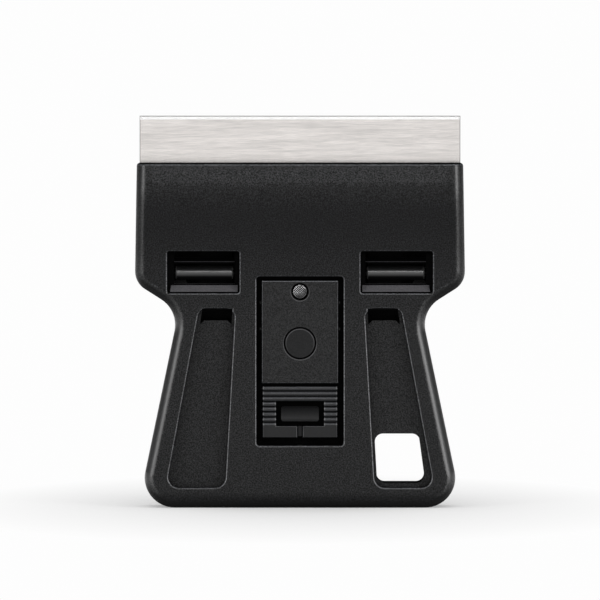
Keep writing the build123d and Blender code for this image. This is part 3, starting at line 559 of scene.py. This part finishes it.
def moulded_plastic(name, color, painted_rim_highlight, fleck, cloud=0.06, grain=None, roughness=0.43,
                    rim_roughness=0.32, specular=0.12, flat_coat=0.17, rim_coat=1.0, shell=False,
                    inside=False, gaps=()):
    """Moulded plastic with grain on its flats and a smoother rim, painted lighter as a highlight. A shell's
    small rims carry the brightest painted highlight, its walls, mouth edge and down-facing faces are painted
    black as shade, and its head is the least glossy apart from the slope below its top, which looks up a
    little. inside paints faces that look forward matt and black as shade, and gaps are the round gaps beside
    a button or a rivet, each with its centre, radius and side of the painted highlight, drawn as a painted
    shadow line with a painted highlight beside it."""
    finish = bpy.context.scene.scraper_finish
    material, tree, shader = start_material(name)
    grained = place_group(
        tree, moulded_grain_group(), Color=solid(color), Fleck=fleck, Cloud=cloud,
        Grain_Scale=1.0 / (grain or finish.grain_size), Roughness=roughness)
    normal = normal_parts(tree)
    # Painted highlight: rims are painted lighter than the flats, most on a shell's small rims and elsewhere
    # most where they look up towards the light
    if shell:
        zone = place_group(tree, body_zone_group())
        rim_highlight_gain = masked(tree, zone["Inner"], 1.0, painted_rim_highlight)
    else:
        rim_highlight_gain = spread(tree, normal["Z"], 0.2, 0.6, painted_rim_highlight, painted_rim_highlight * 2.2)
    rimmed = place_group(
        tree, rim_polish_highlight_group(), Color=grained["Color"], Rim_Color=shaded(tree, grained["Color"], rim_highlight_gain),
        Roughness=grained["Roughness"], Rim_Roughness=rim_roughness)
    color_out, rough = rimmed["Color"], rimmed["Roughness"]
    even = masked(tree, rimmed["Mask"], 1.0, 0.35)
    uneven = times(tree, minus(tree, grained["Shade"], 1.0), even)
    coat = times(tree, masked(tree, rimmed["Mask"], flat_coat, rim_coat), rimmed["Gloss"],
                 plus(tree, uneven, 1.0))
    if shell:
        head = times(tree, masked(tree, zone["Head"], 1.0, 0.12),
                     spread(tree, normal["Z"], 0.02, 0.12, 1.0, 6.3))
        head = largest(tree, head, times(tree, rimmed["Mask"], 0.30))
        # Painted shade: the sides of the slot, windows, pockets and hole, the mouth edge and faces that look
        # down are painted near-black and lose their gloss
        below = spread(tree, normal["Z"], -0.8, -0.2, 0.8, 0.0)
        painted_shade = largest(tree, zone["Mouth"], zone["Wall"], below)
        coat = times(tree, coat, head, minus(tree, 1.0, painted_shade), masked(tree, zone["Foot"], 1.0, 0.12))
        color_out = blend_colors(tree, painted_shade, color_out, SHADE_BLACK_PAINTED)
        rough = largest(tree, rough, painted_shade)
    if inside:
        # Painted shade: faces that look forward are painted black and lose their gloss
        facing = spread(tree, normal["Y"], -0.85, -0.6)
        color_out = blend_colors(tree, facing, INSIDE_SHADE_PAINTED, color_out)
        coat = times(tree, coat, facing)
    # Painted shadow line in each round gap and a painted highlight beside it
    for centre_x, centre_z, radius, light_below in gaps:
        gap = place_group(
            tree, round_gap_group(), Centre_X=centre_x, Centre_Z=centre_z, Radius=radius,
            Light_Below=light_below)
        color_out = blend_colors(tree, gap["Light"], color_out, GAP_HIGHLIGHT_PAINTED)
        color_out = blend_colors(tree, gap["Dark"], color_out, GAP_SHADOW_PAINTED)
        coat = times(tree, coat, minus(tree, 1.0, gap["Dark"]))
        rough = largest(tree, rough, gap["Dark"])
    dress(tree, shader, grained["Height"], finish.grain_depth, Base_Color=color_out, Roughness=rough,
          Specular_IOR_Level=specular, Coat_Weight=calculate(tree, "MINIMUM", coat, 1.0), Coat_IOR=1.7,
          Coat_Roughness=0.34)
    return material


def cradle_plastic(name, color):
    """Black plastic, near-black as painted shade in the windows, with a painted grey highlight on the ledge
    under the roller and a thin painted highlight on the lower edge of the bar above.
    """
    finish = bpy.context.scene.scraper_finish
    material, tree, shader = start_material(name)
    grained = place_group(
        tree, moulded_grain_group(), Color=LEDGE_HIGHLIGHT_PAINTED, Fleck=0.5, Cloud=0.05,
        Grain_Scale=1.2 / finish.grain_size, Roughness=0.5)
    height = place_parts(tree)["Z"]
    # Painted highlight: the ledge and the bar's lower edge are lighter where they look up
    ledge = spread(tree, height, LEDGE_TOP + 0.2 * MM, LEDGE_TOP)
    edge = times(tree, spread(tree, height, BAR_EDGE_HIGH, BAR_EDGE_HIGH - 0.05 * MM, 0.0, 0.45),
                 spread(tree, height, BAR_EDGE_LOW, BAR_EDGE_LOW + 0.05 * MM))
    painted_highlight = times(tree, calculate(tree, "ADD", ledge, edge, clamp=True),
                 spread(tree, normal_parts(tree)["Z"], 0.3, 0.6))
    dress(tree, shader, grained["Height"], finish.grain_depth * SMALL_PART_GRAIN,
          Base_Color=blend_colors(tree, painted_highlight, solid(color), grained["Color"]),
          Roughness=grained["Roughness"], Specular_IOR_Level=0.02, Coat_Weight=times(tree, painted_highlight, 0.3),
          Coat_IOR=1.55, Coat_Roughness=0.4)
    return material


def recessed_plastic(name, color, depth, fade, down, coat=1.0, rim_highlight_gain=1.0, rib_end_highlights=(), flat_share=1.0):
    """Plastic with a finish on what stands forward, painted black as shade in its grooves and matt on faces
    that look down.
    Rims are painted lighter than the flats as a highlight, and the flats have flat_share of their gloss. The
    rib-end bands are narrow upright bands where the ends of the ribs are painted light as a highlight, each
    with the distance of its middle from the centre line and its lower and upper ends."""
    finish = bpy.context.scene.scraper_finish
    material, tree, shader = start_material(name)
    grained = place_group(
        tree, moulded_grain_group(), Color=solid(color), Fleck=0.6, Cloud=0.05,
        Grain_Scale=1.3 / finish.grain_size, Roughness=0.45)
    rimmed = place_group(
        tree, rim_polish_highlight_group(), Color=grained["Color"], Rim_Color=shaded(tree, grained["Color"], rim_highlight_gain),
        Roughness=grained["Roughness"], Rim_Roughness=0.4)
    # Painted shade: faces deeper than the given depth are painted black
    near = place_group(
        tree, deep_shade_group(), Color=rimmed["Color"], Deep_Color=SHADE_BLACK_PAINTED, Depth=depth, Fade=fade)
    color_out = near["Color"]
    normal, place = normal_parts(tree), place_parts(tree)
    # Painted highlight on the ends of the ribs, not on faces that look down
    for half, bottom, top in rib_end_highlights:
        off = unsigned(tree, minus(tree, unsigned(tree, place["X"]), half))
        band = times(
            tree, spread(tree, off, 0.14 * MM, 0.08 * MM), spread(tree, place["Z"], top, top - 0.1 * MM),
            spread(tree, place["Z"], bottom, bottom + 0.1 * MM), spread(tree, normal["Z"], -0.4, 0.3),
            near["Mask"])
        color_out = blend_colors(tree, band, color_out, RIB_END_HIGHLIGHT_PAINTED)
    facing = times(tree, spread(tree, normal["Z"], *down, 0.0, coat),
                   masked(tree, rimmed["Mask"], flat_share, 1.0))
    dress(tree, shader, grained["Height"], finish.grain_depth * SMALL_PART_GRAIN, Base_Color=color_out,
          Roughness=rimmed["Roughness"], Specular_IOR_Level=0.02,
          Coat_Weight=times(tree, near["Mask"], facing), Coat_IOR=1.6, Coat_Roughness=0.4)
    return material


def turned_plastic(name, color):
    """Dark plastic with the faint rings that turning leaves and ends painted lighter as highlights, for the
    guide rollers.
    """
    material, tree, shader = start_material(name)
    across = unsigned(tree, place_parts(tree)["X"])
    inner_end, outer_end = ROLLER_LOW[0], ROLLER_HIGH[0]
    ends = largest(tree, spread(tree, across, inner_end + 0.30 * MM, inner_end + 0.12 * MM),
                   spread(tree, across, outer_end - 0.30 * MM, outer_end - 0.12 * MM))
    ringed = place_group(
        tree, brushed_steel_group(), Color=solid(color), Stretch=(3200.0, 90.0, 90.0), Depth=0.06,
        Roughness=0.4, Roughness_Spread=0.02)
    # Painted highlight: the roller's ends are lighter
    painted_highlight = grey_color(tree, times(tree, ends, 0.045))
    upright = split(tree, add_node(tree, "ShaderNodeNewGeometry").outputs["Normal"])["Z"]
    dress(tree, shader, ringed["Height"], SCRATCH_DEPTH / 2,
          Base_Color=blend_colors(tree, 1.0, ringed["Color"], painted_highlight, "ADD"), Roughness=ringed["Roughness"],
          Specular_IOR_Level=0.05, Coat_Weight=spread(tree, upright, -0.55, 0.16), Coat_IOR=2.0,
          Coat_Roughness=0.3)
    return material


def brushed_metal(name, color, stretch, depth=0.08, roughness=0.32):
    """Steel with scratches along one direction."""
    material, tree, shader = start_material(name)
    brushed = place_group(
        tree, brushed_steel_group(), Color=solid(color), Stretch=stretch, Depth=depth,
        Roughness=roughness, Roughness_Spread=0.05)
    dress(tree, shader, brushed["Height"], SCRATCH_DEPTH, Base_Color=brushed["Color"],
          Roughness=brushed["Roughness"], Metallic=1.0)
    return material


def knurled_steel(name, color, settings):
    """Bright steel on the points of the knurl, with painted shade in its grooves and over its lower right
    part.
    """
    material, tree, shader = start_material(name)
    brushed = place_group(
        tree, brushed_steel_group(), Color=solid(color), Stretch=(3000.0, 3000.0, 3000.0), Depth=0.2,
        Roughness=0.2, Roughness_Spread=0.04)
    place = place_parts(tree)
    centre_x, centre_z = middle(RIVET_LOW, RIVET_HIGH)
    across = minus(tree, place["X"], centre_x)
    up = minus(tree, place["Z"], centre_z)
    dome = times(tree, sum_of_squares(tree, across, up), settings.head_dome / settings.head_radius ** 2)
    below = minus(tree, minus(tree, place["Y"], RIVET_LOW[1]), dome)
    # Painted shade: darker in the knurl's grooves and towards the head's lower right
    groove_shade = spread(tree, below, settings.knurl_depth * 0.1, settings.knurl_depth * 0.65)
    low = spread(tree, minus(tree, up, times(tree, across, 0.5)), -0.5 * MM, 1.0 * MM, 0.9, 0.15)
    dress(tree, shader, brushed["Height"], SCRATCH_DEPTH,
          Base_Color=blend_colors(tree, largest(tree, groove_shade, low), brushed["Color"], RIVET_SHADE_PAINTED),
          Roughness=brushed["Roughness"], Metallic=1.0)
    return material


def blade_steel(name, color):
    """Blade strip brushed along its length, with a ground bevel painted lighter as a highlight, a thin grey
    line painted as shade along its edge and ends painted darker as shade."""
    material, tree, shader = start_material(name)
    brushed = place_group(
        tree, brushed_steel_group(), Color=solid(color), Stretch=(330.0, 5200.0, 5200.0), Depth=0.13,
        Roughness=0.2, Roughness_Spread=0.03)
    ground = place_group(
        tree, brushed_steel_group(), Color=BLADE_BEVEL_HIGHLIGHT, Stretch=(7000.0, 400.0, 400.0), Depth=0.03,
        Roughness=0.4, Roughness_Spread=0.02)
    place = place_parts(tree)
    side, edge = BLADE_HIGH[0], BLADE_HIGH[2]
    # Painted highlight on the bevel, painted shade along the edge and at the ends
    bevel = spread(tree, place["Z"], edge - 0.76 * MM, edge - 0.66 * MM)
    edge_shade = spread(tree, place["Z"], edge - 0.17 * MM, edge - 0.13 * MM)
    ends = spread(tree, unsigned(tree, place["X"]), side - 0.20 * MM, side - 0.12 * MM)
    color_out = blend_colors(tree, bevel, brushed["Color"], ground["Color"])
    color_out = blend_colors(tree, edge_shade, color_out, BLADE_EDGE_SHADE)
    color_out = blend_colors(tree, ends, color_out, BLADE_END_SHADE)
    dress(tree, shader, brushed["Height"], SCRATCH_DEPTH * 0.75, Base_Color=color_out, Metallic=1.0,
          Roughness=blend_values(tree, bevel, brushed["Roughness"], ground["Roughness"]))
    return material


def finish_nodes(material, *names):
    """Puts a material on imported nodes."""
    for name in names:
        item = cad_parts[name]
        if not item.material_slots:
            item.data.materials.append(material)
        for slot in item.material_slots:
            slot.material = material


# ---------------------------------------------------------------- mesh pieces

def knurl_height(x, z, pitch, depth):
    """Height of a cross-knurled face: four-sided points between two sets of slanted grooves."""
    heights = []
    for across in ((x + z) / math.sqrt(2), (x - z) / math.sqrt(2)):
        share = (across / pitch) % 1.0
        heights.append(min(1.0, 2.6 * min(share, 1.0 - share)))
    return depth * (min(heights) - 1.0)


def build_knurled_rivet(settings):
    """Head with a cross-knurled top and a rounded side, on a plain shank."""
    centre_x, centre_z = middle(RIVET_LOW, RIVET_HIGH)
    front, back = RIVET_LOW[1], RIVET_HIGH[1]
    radius, rounding = settings.head_radius, settings.head_round
    top_radius = radius - rounding
    rings = []  # radius, drop behind the front and share of the knurl of each ring
    for step in range(1, TOP_RINGS + 1):
        ring_radius = top_radius * step / TOP_RINGS
        rings.append((ring_radius, settings.head_dome * (ring_radius / radius) ** 2, 1.0))
    shoulder = settings.head_dome * (top_radius / radius) ** 2
    for step in range(1, ROUND_RINGS + 1):
        angle = math.pi / 2 * step / ROUND_RINGS
        fade = max(0.0, 1.0 - 1.3 * step / ROUND_RINGS)
        drop = shoulder + rounding * (1 - math.cos(angle))
        rings.append((top_radius + rounding * math.sin(angle), drop, fade))
    shank, bevel = settings.shank_radius, 0.15 * MM
    rings += [(radius, settings.head_thickness, 0.0), (shank, settings.head_thickness, 0.0),
              (shank, back - front - bevel, 0.0), (shank - bevel, back - front, 0.0)]

    shape = bmesh.new()
    centre_height = knurl_height(0.0, 0.0, settings.knurl_pitch, settings.knurl_depth)
    tip = shape.verts.new((centre_x, front - centre_height, centre_z))
    tail = shape.verts.new((centre_x, back, centre_z))
    loops = []
    for ring_radius, drop, knurled in rings:
        loop = []
        for segment in range(RIVET_SEGMENTS):
            angle = math.tau * segment / RIVET_SEGMENTS
            x, z = ring_radius * math.cos(angle), ring_radius * math.sin(angle)
            sink = -knurled * knurl_height(x, z, settings.knurl_pitch, settings.knurl_depth)
            loop.append(shape.verts.new((centre_x + x, front + drop + sink, centre_z + z)))
        loops.append(loop)
    for segment in range(RIVET_SEGMENTS):
        after = (segment + 1) % RIVET_SEGMENTS
        shape.faces.new((tip, loops[0][segment], loops[0][after]))
        for inner, outer in zip(loops, loops[1:]):
            shape.faces.new((inner[segment], outer[segment], outer[after], inner[after]))
        shape.faces.new((tail, loops[-1][after], loops[-1][segment]))
    bmesh.ops.recalc_face_normals(shape, faces=shape.faces)
    for face in shape.faces:
        face.smooth = True
    mesh = bpy.data.meshes.new("knurled_rivet")
    shape.to_mesh(mesh)
    shape.free()
    mesh.set_sharp_from_angle(angle=math.radians(40))
    piece = bpy.data.objects.new("knurled_rivet", mesh)
    bpy.context.collection.objects.link(piece)
    return piece


def build_button_spring(node, material):
    """Copy of the spring under a button as a piece of its own, which rides with the carriage."""
    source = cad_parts[node]
    mesh = source.data.copy()
    mesh.transform(source.matrix_world)
    mesh.materials.clear()
    mesh.materials.append(material)
    piece = bpy.data.objects.new(node + "_wire", mesh)
    bpy.context.collection.objects.link(piece)
    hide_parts(node)
    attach(piece, "carriage")
    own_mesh(piece)
    return piece


# ---------------------------------------------------------------- operators

class SCRAPER_OT_shells(bpy.types.Operator):
    """Grained near-black plastic on the front and back shells"""

    bl_idname = "scraper.shells"
    bl_label = "Finish shells"

    def execute(self, context):
        color = context.scene.scraper_finish.shell_color
        front = moulded_plastic("shell_plastic_grained", color, painted_rim_highlight=12.0, fleck=1.9, shell=True)
        finish_nodes(front, "front_shell")
        back = moulded_plastic(
            "shell_plastic_grained_back", color, painted_rim_highlight=2.0, fleck=1.9, shell=True, inside=True)
        finish_nodes(back, "back_shell")
        return {"FINISHED"}


class SCRAPER_OT_cradles(bpy.types.Operator):
    """Near-black plastic on the cradles behind the windows, standing in for their shade, with painted
    highlights on the ledge and the bar's lower edge
    """

    bl_idname = "scraper.cradles"
    bl_label = "Finish cradles"

    def execute(self, context):
        finish = context.scene.scraper_finish
        material = cradle_plastic("cradle_plastic_grained", finish.cradle_color)
        finish_nodes(material, "roller_cradle_left", "roller_cradle_right")
        return {"FINISHED"}


class SCRAPER_OT_rollers(bpy.types.Operator):
    """Turned plastic on the guide rollers and blackened steel on their pins"""

    bl_idname = "scraper.rollers"
    bl_label = "Finish rollers and pins"

    def execute(self, context):
        finish = context.scene.scraper_finish
        finish_nodes(turned_plastic("roller_plastic_turned", finish.roller_color),
                     "guide_roller_left", "guide_roller_right")
        finish_nodes(brushed_metal("pin_steel_blackened", PIN_STEEL, (6000.0, 500.0, 500.0)),
                     "roller_pin_left", "roller_pin_right")
        return {"FINISHED"}


class SCRAPER_OT_carrier(bpy.types.Operator):
    """Near-black, matt low friction plastic with cloudy wear on the blade carrier, standing in for the shade
    inside the windows and the slot
    """

    bl_idname = "scraper.carrier"
    bl_label = "Finish blade carrier"

    def execute(self, context):
        color = context.scene.scraper_finish.carrier_color
        material = moulded_plastic(
            "carrier_plastic_smooth", color, painted_rim_highlight=1.0, fleck=0.2, cloud=0.2, roughness=0.5,
            rim_roughness=0.5, specular=0.03, flat_coat=0.0, rim_coat=0.0)
        finish_nodes(material, "blade_carrier")
        return {"FINISHED"}


class SCRAPER_OT_blade(bpy.types.Operator):
    """Brushed blade with its ground bevel"""

    bl_idname = "scraper.blade"
    bl_label = "Finish blade"

    def execute(self, context):
        finish_nodes(blade_steel("blade_steel_brushed", context.scene.scraper_finish.blade_color), "blade")
        return {"FINISHED"}


class SCRAPER_OT_keeper(bpy.types.Operator):
    """Spring steel of the leaf behind the blade"""

    bl_idname = "scraper.keeper"
    bl_label = "Finish blade keeper"

    def execute(self, context):
        finish_nodes(brushed_metal("leaf_steel_rolled", LEAF_STEEL, (4200.0, 4200.0, 260.0)), "blade_keeper")
        return {"FINISHED"}


class SCRAPER_OT_screws(bpy.types.Operator):
    """Darkened steel on the housing and keeper screws"""

    bl_idname = "scraper.screws"
    bl_label = "Finish screws"

    def execute(self, context):
        material = brushed_metal(
            "screw_steel_darkened", SCREW_STEEL, (2600.0, 2600.0, 2600.0), depth=0.22, roughness=0.38)
        finish_nodes(material, "housing_screws", "keeper_screws")
        return {"FINISHED"}


class SCRAPER_OT_slide(bpy.types.Operator):
    """Finer grained plastic on the slide plate, the thumb grip and the release button"""

    bl_idname = "scraper.slide"
    bl_label = "Finish thumb slide"

    def execute(self, context):
        finish = context.scene.scraper_finish
        grain = finish.grain_size * PLATE_GRAIN
        plate = moulded_plastic(
            "slide_plastic_grained", finish.slide_color, painted_rim_highlight=17.0, fleck=1.2, flat_coat=0.21,
            grain=grain, gaps=(DISC_GAP + (1.0,), RIVET_GAP + (1.0,)))
        finish_nodes(plate, "slide_plate")
        disc = moulded_plastic(
            "slide_plastic_disc", finish.slide_color, painted_rim_highlight=2.0, fleck=0.4, flat_coat=0.12,
            grain=grain, gaps=(DISC_GAP + (0.0,),))
        finish_nodes(disc, "release_button")
        grip = recessed_plastic(
            "grip_plastic_grained", finish.slide_color, depth=-4.28 * MM, fade=0.34 * MM, down=(-0.75, 0.1),
            rim_highlight_gain=11.0, rib_end_highlights=RIB_ENDS, flat_share=0.5)
        finish_nodes(grip, "thumb_grip")
        return {"FINISHED"}


class SCRAPER_OT_lock(bpy.types.Operator):
    """Satin plastic on the dished lock button"""

    bl_idname = "scraper.lock"
    bl_label = "Finish lock button"

    def execute(self, context):
        finish = context.scene.scraper_finish
        pad = recessed_plastic(
            "button_plastic_satin", finish.button_color, depth=-3.9 * MM, fade=0.5 * MM, down=(-0.42, 0.45),
            coat=0.52)
        finish_nodes(pad, "lock_button")
        return {"FINISHED"}


class SCRAPER_OT_springs(bpy.types.Operator):
    """Drawn wire of the two button springs"""

    bl_idname = "scraper.springs"
    bl_label = "Finish springs"

    def execute(self, context):
        material = brushed_metal(
            "wire_steel_drawn", WIRE_STEEL, (1800.0, 5000.0, 1800.0), depth=0.1, roughness=0.28)
        for node, joint, travel in BUTTON_SPRINGS:
            build_button_spring(node, material)
        return {"FINISHED"}


class SCRAPER_OT_rivet(bpy.types.Operator):
    """Steel rivet with a cross-knurled head, in place of the plain one"""

    bl_idname = "scraper.rivet"
    bl_label = "Build knurled rivet"

    def execute(self, context):
        settings = context.scene.scraper_rivet
        piece = build_knurled_rivet(settings)
        piece.data.materials.append(knurled_steel("rivet_steel_knurled", RIVET_STEEL, settings))
        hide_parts("slide_rivet")
        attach(piece, "carriage")
        return {"FINISHED"}


# Black cards that only reflections see: name, width, height, middle and the direction that each faces
CARDS = (
    ("side_card_left", 4.4, 1.9, (-1.6, 1.0, 1.10), (1, 0, 0)),
    ("side_card_right", 4.4, 1.9, (1.6, 1.0, 1.10), (-1, 0, 0)),
    ("front_card", 3.6, 1.75, (0.0, -2.0, 1.17), (0, 1, 0)),
    ("back_card", 3.6, 1.9, (0.0, 3.0, 1.10), (0, -1, 0)),
    ("top_card", 3.6, 5.4, (0.0, 0.5, 2.05), (0, 0, -1)),
)
CARD_BLACK = (0.004, 0.004, 0.004, 1.0)
SURROUND_WHITE = 0.985  # strength at which the camera sees the sky and the floor far out
RIGHT_STRIP_SHARE = 1.45  # brightness of the right strip lamp to the left one
AIM_DEPTH = -5.0 * MM  # the camera looks at the plane of the front shell's face


def flat_card(name, width, height, location, facing):
    """Flat rectangle that faces a direction, for the floor and the cards."""
    mesh = bpy.data.meshes.new(name)
    half_width, half_height = width / 2, height / 2
    corners = [(-half_width, -half_height, 0), (half_width, -half_height, 0),
               (half_width, half_height, 0), (-half_width, half_height, 0)]
    mesh.from_pydata(corners, [], [(0, 1, 2, 3)])
    card = bpy.data.objects.new(name, mesh)
    card.location = location
    card.rotation_euler = Vector(facing).to_track_quat("Z", "Y").to_euler()
    bpy.context.collection.objects.link(card)
    return card


def seen_white(tree, shown, lit):
    """Strength that is one value for the camera, reflections and glass and another for soft light."""
    path = add_node(tree, "ShaderNodeLightPath").outputs
    seen = largest(tree, path["Is Camera Ray"], path["Is Glossy Ray"], path["Is Transmission Ray"])
    return plus(tree, times(tree, seen, shown - lit), lit)


def white_floor(color):
    """Pale matt floor with the object's shadow, which goes over into the white surround farther out. Soft
    light comes back from it as from a mid grey."""
    material, tree, shader = start_material("floor_pale")
    place = scaled(tree, object_place(tree), (1.9, 1.0, 0.0))
    span = add_node(tree, "ShaderNodeVectorMath", operation="LENGTH")
    link(tree, place, span.inputs[0])
    away = spread(tree, span.outputs["Value"], 0.02, 0.13)
    seen = seen_white(tree, 1.0, 0.0)
    shown = blend_colors(tree, away, solid(color), (0.0, 0.0, 0.0, 1.0))
    feed_all(
        tree, shader, Base_Color=blend_colors(tree, seen, (0.45, 0.45, 0.45, 1.0), shown), Roughness=1.0,
        Specular_IOR_Level=0.0)
    glow = add_node(tree, "ShaderNodeEmission", (300, -400))
    feed_all(tree, glow, Strength=times(tree, seen, masked(tree, away, 0.08, SURROUND_WHITE)))
    both = add_node(tree, "ShaderNodeAddShader", (500, -100))
    link(tree, shader.outputs[0], both.inputs[0])
    link(tree, glow.outputs[0], both.inputs[1])
    link(tree, both.outputs[0], tree.nodes["Material Output"].inputs["Surface"])
    return material


def black_card_material():
    material, tree, shader = start_material("card_black")
    feed_all(tree, shader, Base_Color=CARD_BLACK, Roughness=1.0, Specular_IOR_Level=0.0)
    return material


def soft_lamp(name, brightness, width, tall, distance, aim_height, side=0, rise=0):
    """Soft lamp that looks at a height above the middle of the floor, from side degrees to the right of the
    front and rise degrees up."""
    angle, rise = math.radians(side), math.radians(rise)
    lamp = bpy.data.lights.new(name, "AREA")
    lamp.shape = "RECTANGLE"
    lamp.size = width
    lamp.size_y = tall
    lamp.energy = brightness * math.pi * width * tall
    holder = bpy.data.objects.new(name, lamp)
    aim = Vector((0.0, 0.0, aim_height))
    out = Vector((math.sin(angle) * math.cos(rise), -math.cos(angle) * math.cos(rise), math.sin(rise)))
    holder.location = aim + distance * out
    holder.rotation_euler = (-out).to_track_quat("-Z", "Y").to_euler()
    holder.visible_camera = False
    bpy.context.collection.objects.link(holder)
    return holder


class SCRAPER_OT_studio(bpy.types.Operator):
    """Pale floor, even light, two strip lamps, a front and a top lamp, black cards and the camera"""

    bl_idname = "scraper.studio"
    bl_label = "Build studio"

    def execute(self, context):
        scene = context.scene
        studio = scene.scraper_studio
        floor = flat_card("floor", 8.0, 8.0, (0.0, 0.0, 0.0), (0, 0, 1))
        floor.data.materials.append(white_floor(studio.floor_color))

        world = bpy.data.worlds.new("studio_light")
        world.use_nodes = True
        tree = world.node_tree
        tree.nodes.clear()
        sky = add_node(tree, "ShaderNodeBackground")
        sky.inputs["Color"].default_value = (1.0, 1.0, 1.0, 1.0)
        link(tree, seen_white(tree, SURROUND_WHITE, studio.sky_strength), sky.inputs["Strength"])
        output = add_node(tree, "ShaderNodeOutputWorld")
        link(tree, sky.outputs[0], output.inputs["Surface"])
        scene.world = world

        strip = {"width": 1.0, "tall": 1.3, "distance": 1.9, "aim_height": 0.35}
        soft_lamp("strip_left", studio.strip_strength, side=-45, **strip)
        soft_lamp("strip_right", studio.strip_strength * RIGHT_STRIP_SHARE, side=45, **strip)
        soft_lamp("lamp_front", studio.front_strength, width=1.2, tall=0.30, distance=1.9, aim_height=0.04,
                  rise=21)
        above = soft_lamp("lamp_top", studio.top_strength, width=1.3, tall=1.0, distance=1.1,
                          aim_height=0.04, rise=80)
        above.visible_glossy = False

        black = black_card_material()
        for values in CARDS:
            card = flat_card(*values)
            card.data.materials.append(black)
            for ray in ("camera", "diffuse", "transmission", "shadow", "volume_scatter"):
                setattr(card, "visible_" + ray, False)

        lens = bpy.data.cameras.new("camera")
        lens.sensor_width = 36.0
        lens.lens = lens.sensor_width * studio.camera_distance / studio.view_width
        lens.clip_end = 50.0
        camera = bpy.data.objects.new("camera", lens)
        aim = Vector((0.0, AIM_DEPTH, studio.view_height))
        tilt = studio.camera_tilt
        camera.location = aim + studio.camera_distance * Vector((0.0, -math.cos(tilt), math.sin(tilt)))
        camera.rotation_euler = (aim - camera.location).to_track_quat("-Z", "Y").to_euler()
        scene.collection.objects.link(camera)
        scene.camera = camera
        scene.view_settings.view_transform = "Standard"
        return {"FINISHED"}


OPERATORS = (
    SCRAPER_OT_shells,
    SCRAPER_OT_cradles,
    SCRAPER_OT_rollers,
    SCRAPER_OT_carrier,
    SCRAPER_OT_blade,
    SCRAPER_OT_keeper,
    SCRAPER_OT_screws,
    SCRAPER_OT_slide,
    SCRAPER_OT_lock,
    SCRAPER_OT_springs,
    SCRAPER_OT_rivet,
    SCRAPER_OT_studio,
)
SETTINGS = (
    ("scraper_finish", ScraperFinishSettings),
    ("scraper_rivet", ScraperRivetSettings),
    ("scraper_studio", ScraperStudioSettings),
)


class SCRAPER_PT_panel(bpy.types.Panel):
    """Settings and steps of the scraper"""

    bl_idname = "SCRAPER_PT_panel"
    bl_label = "Hob scraper"
    bl_space_type = "VIEW_3D"
    bl_region_type = "UI"
    bl_category = "Scraper"

    def draw(self, context):
        layout = self.layout
        for attribute, group in SETTINGS:
            box = layout.box()
            settings = getattr(context.scene, attribute)
            for name in group.__annotations__:
                box.prop(settings, name)
        for operator in OPERATORS:
            layout.operator(operator.bl_idname)


def register():
    for attribute, group in SETTINGS:
        bpy.utils.register_class(group)
        setattr(bpy.types.Scene, attribute, PointerProperty(type=group))
    for operator in OPERATORS:
        bpy.utils.register_class(operator)
    bpy.utils.register_class(SCRAPER_PT_panel)


def unregister():
    bpy.utils.unregister_class(SCRAPER_PT_panel)
    for operator in reversed(OPERATORS):
        bpy.utils.unregister_class(operator)
    for attribute, group in reversed(SETTINGS):
        delattr(bpy.types.Scene, attribute)
        bpy.utils.unregister_class(group)


def main():
    register()
    bpy.ops.scraper.shells()
    bpy.ops.scraper.cradles()
    bpy.ops.scraper.rollers()
    bpy.ops.scraper.carrier()
    bpy.ops.scraper.blade()
    bpy.ops.scraper.keeper()
    bpy.ops.scraper.screws()
    bpy.ops.scraper.slide()
    bpy.ops.scraper.lock()
    bpy.ops.scraper.springs()
    bpy.ops.scraper.rivet()
    bpy.ops.scraper.studio()


if __name__ == "__main__":
    main()
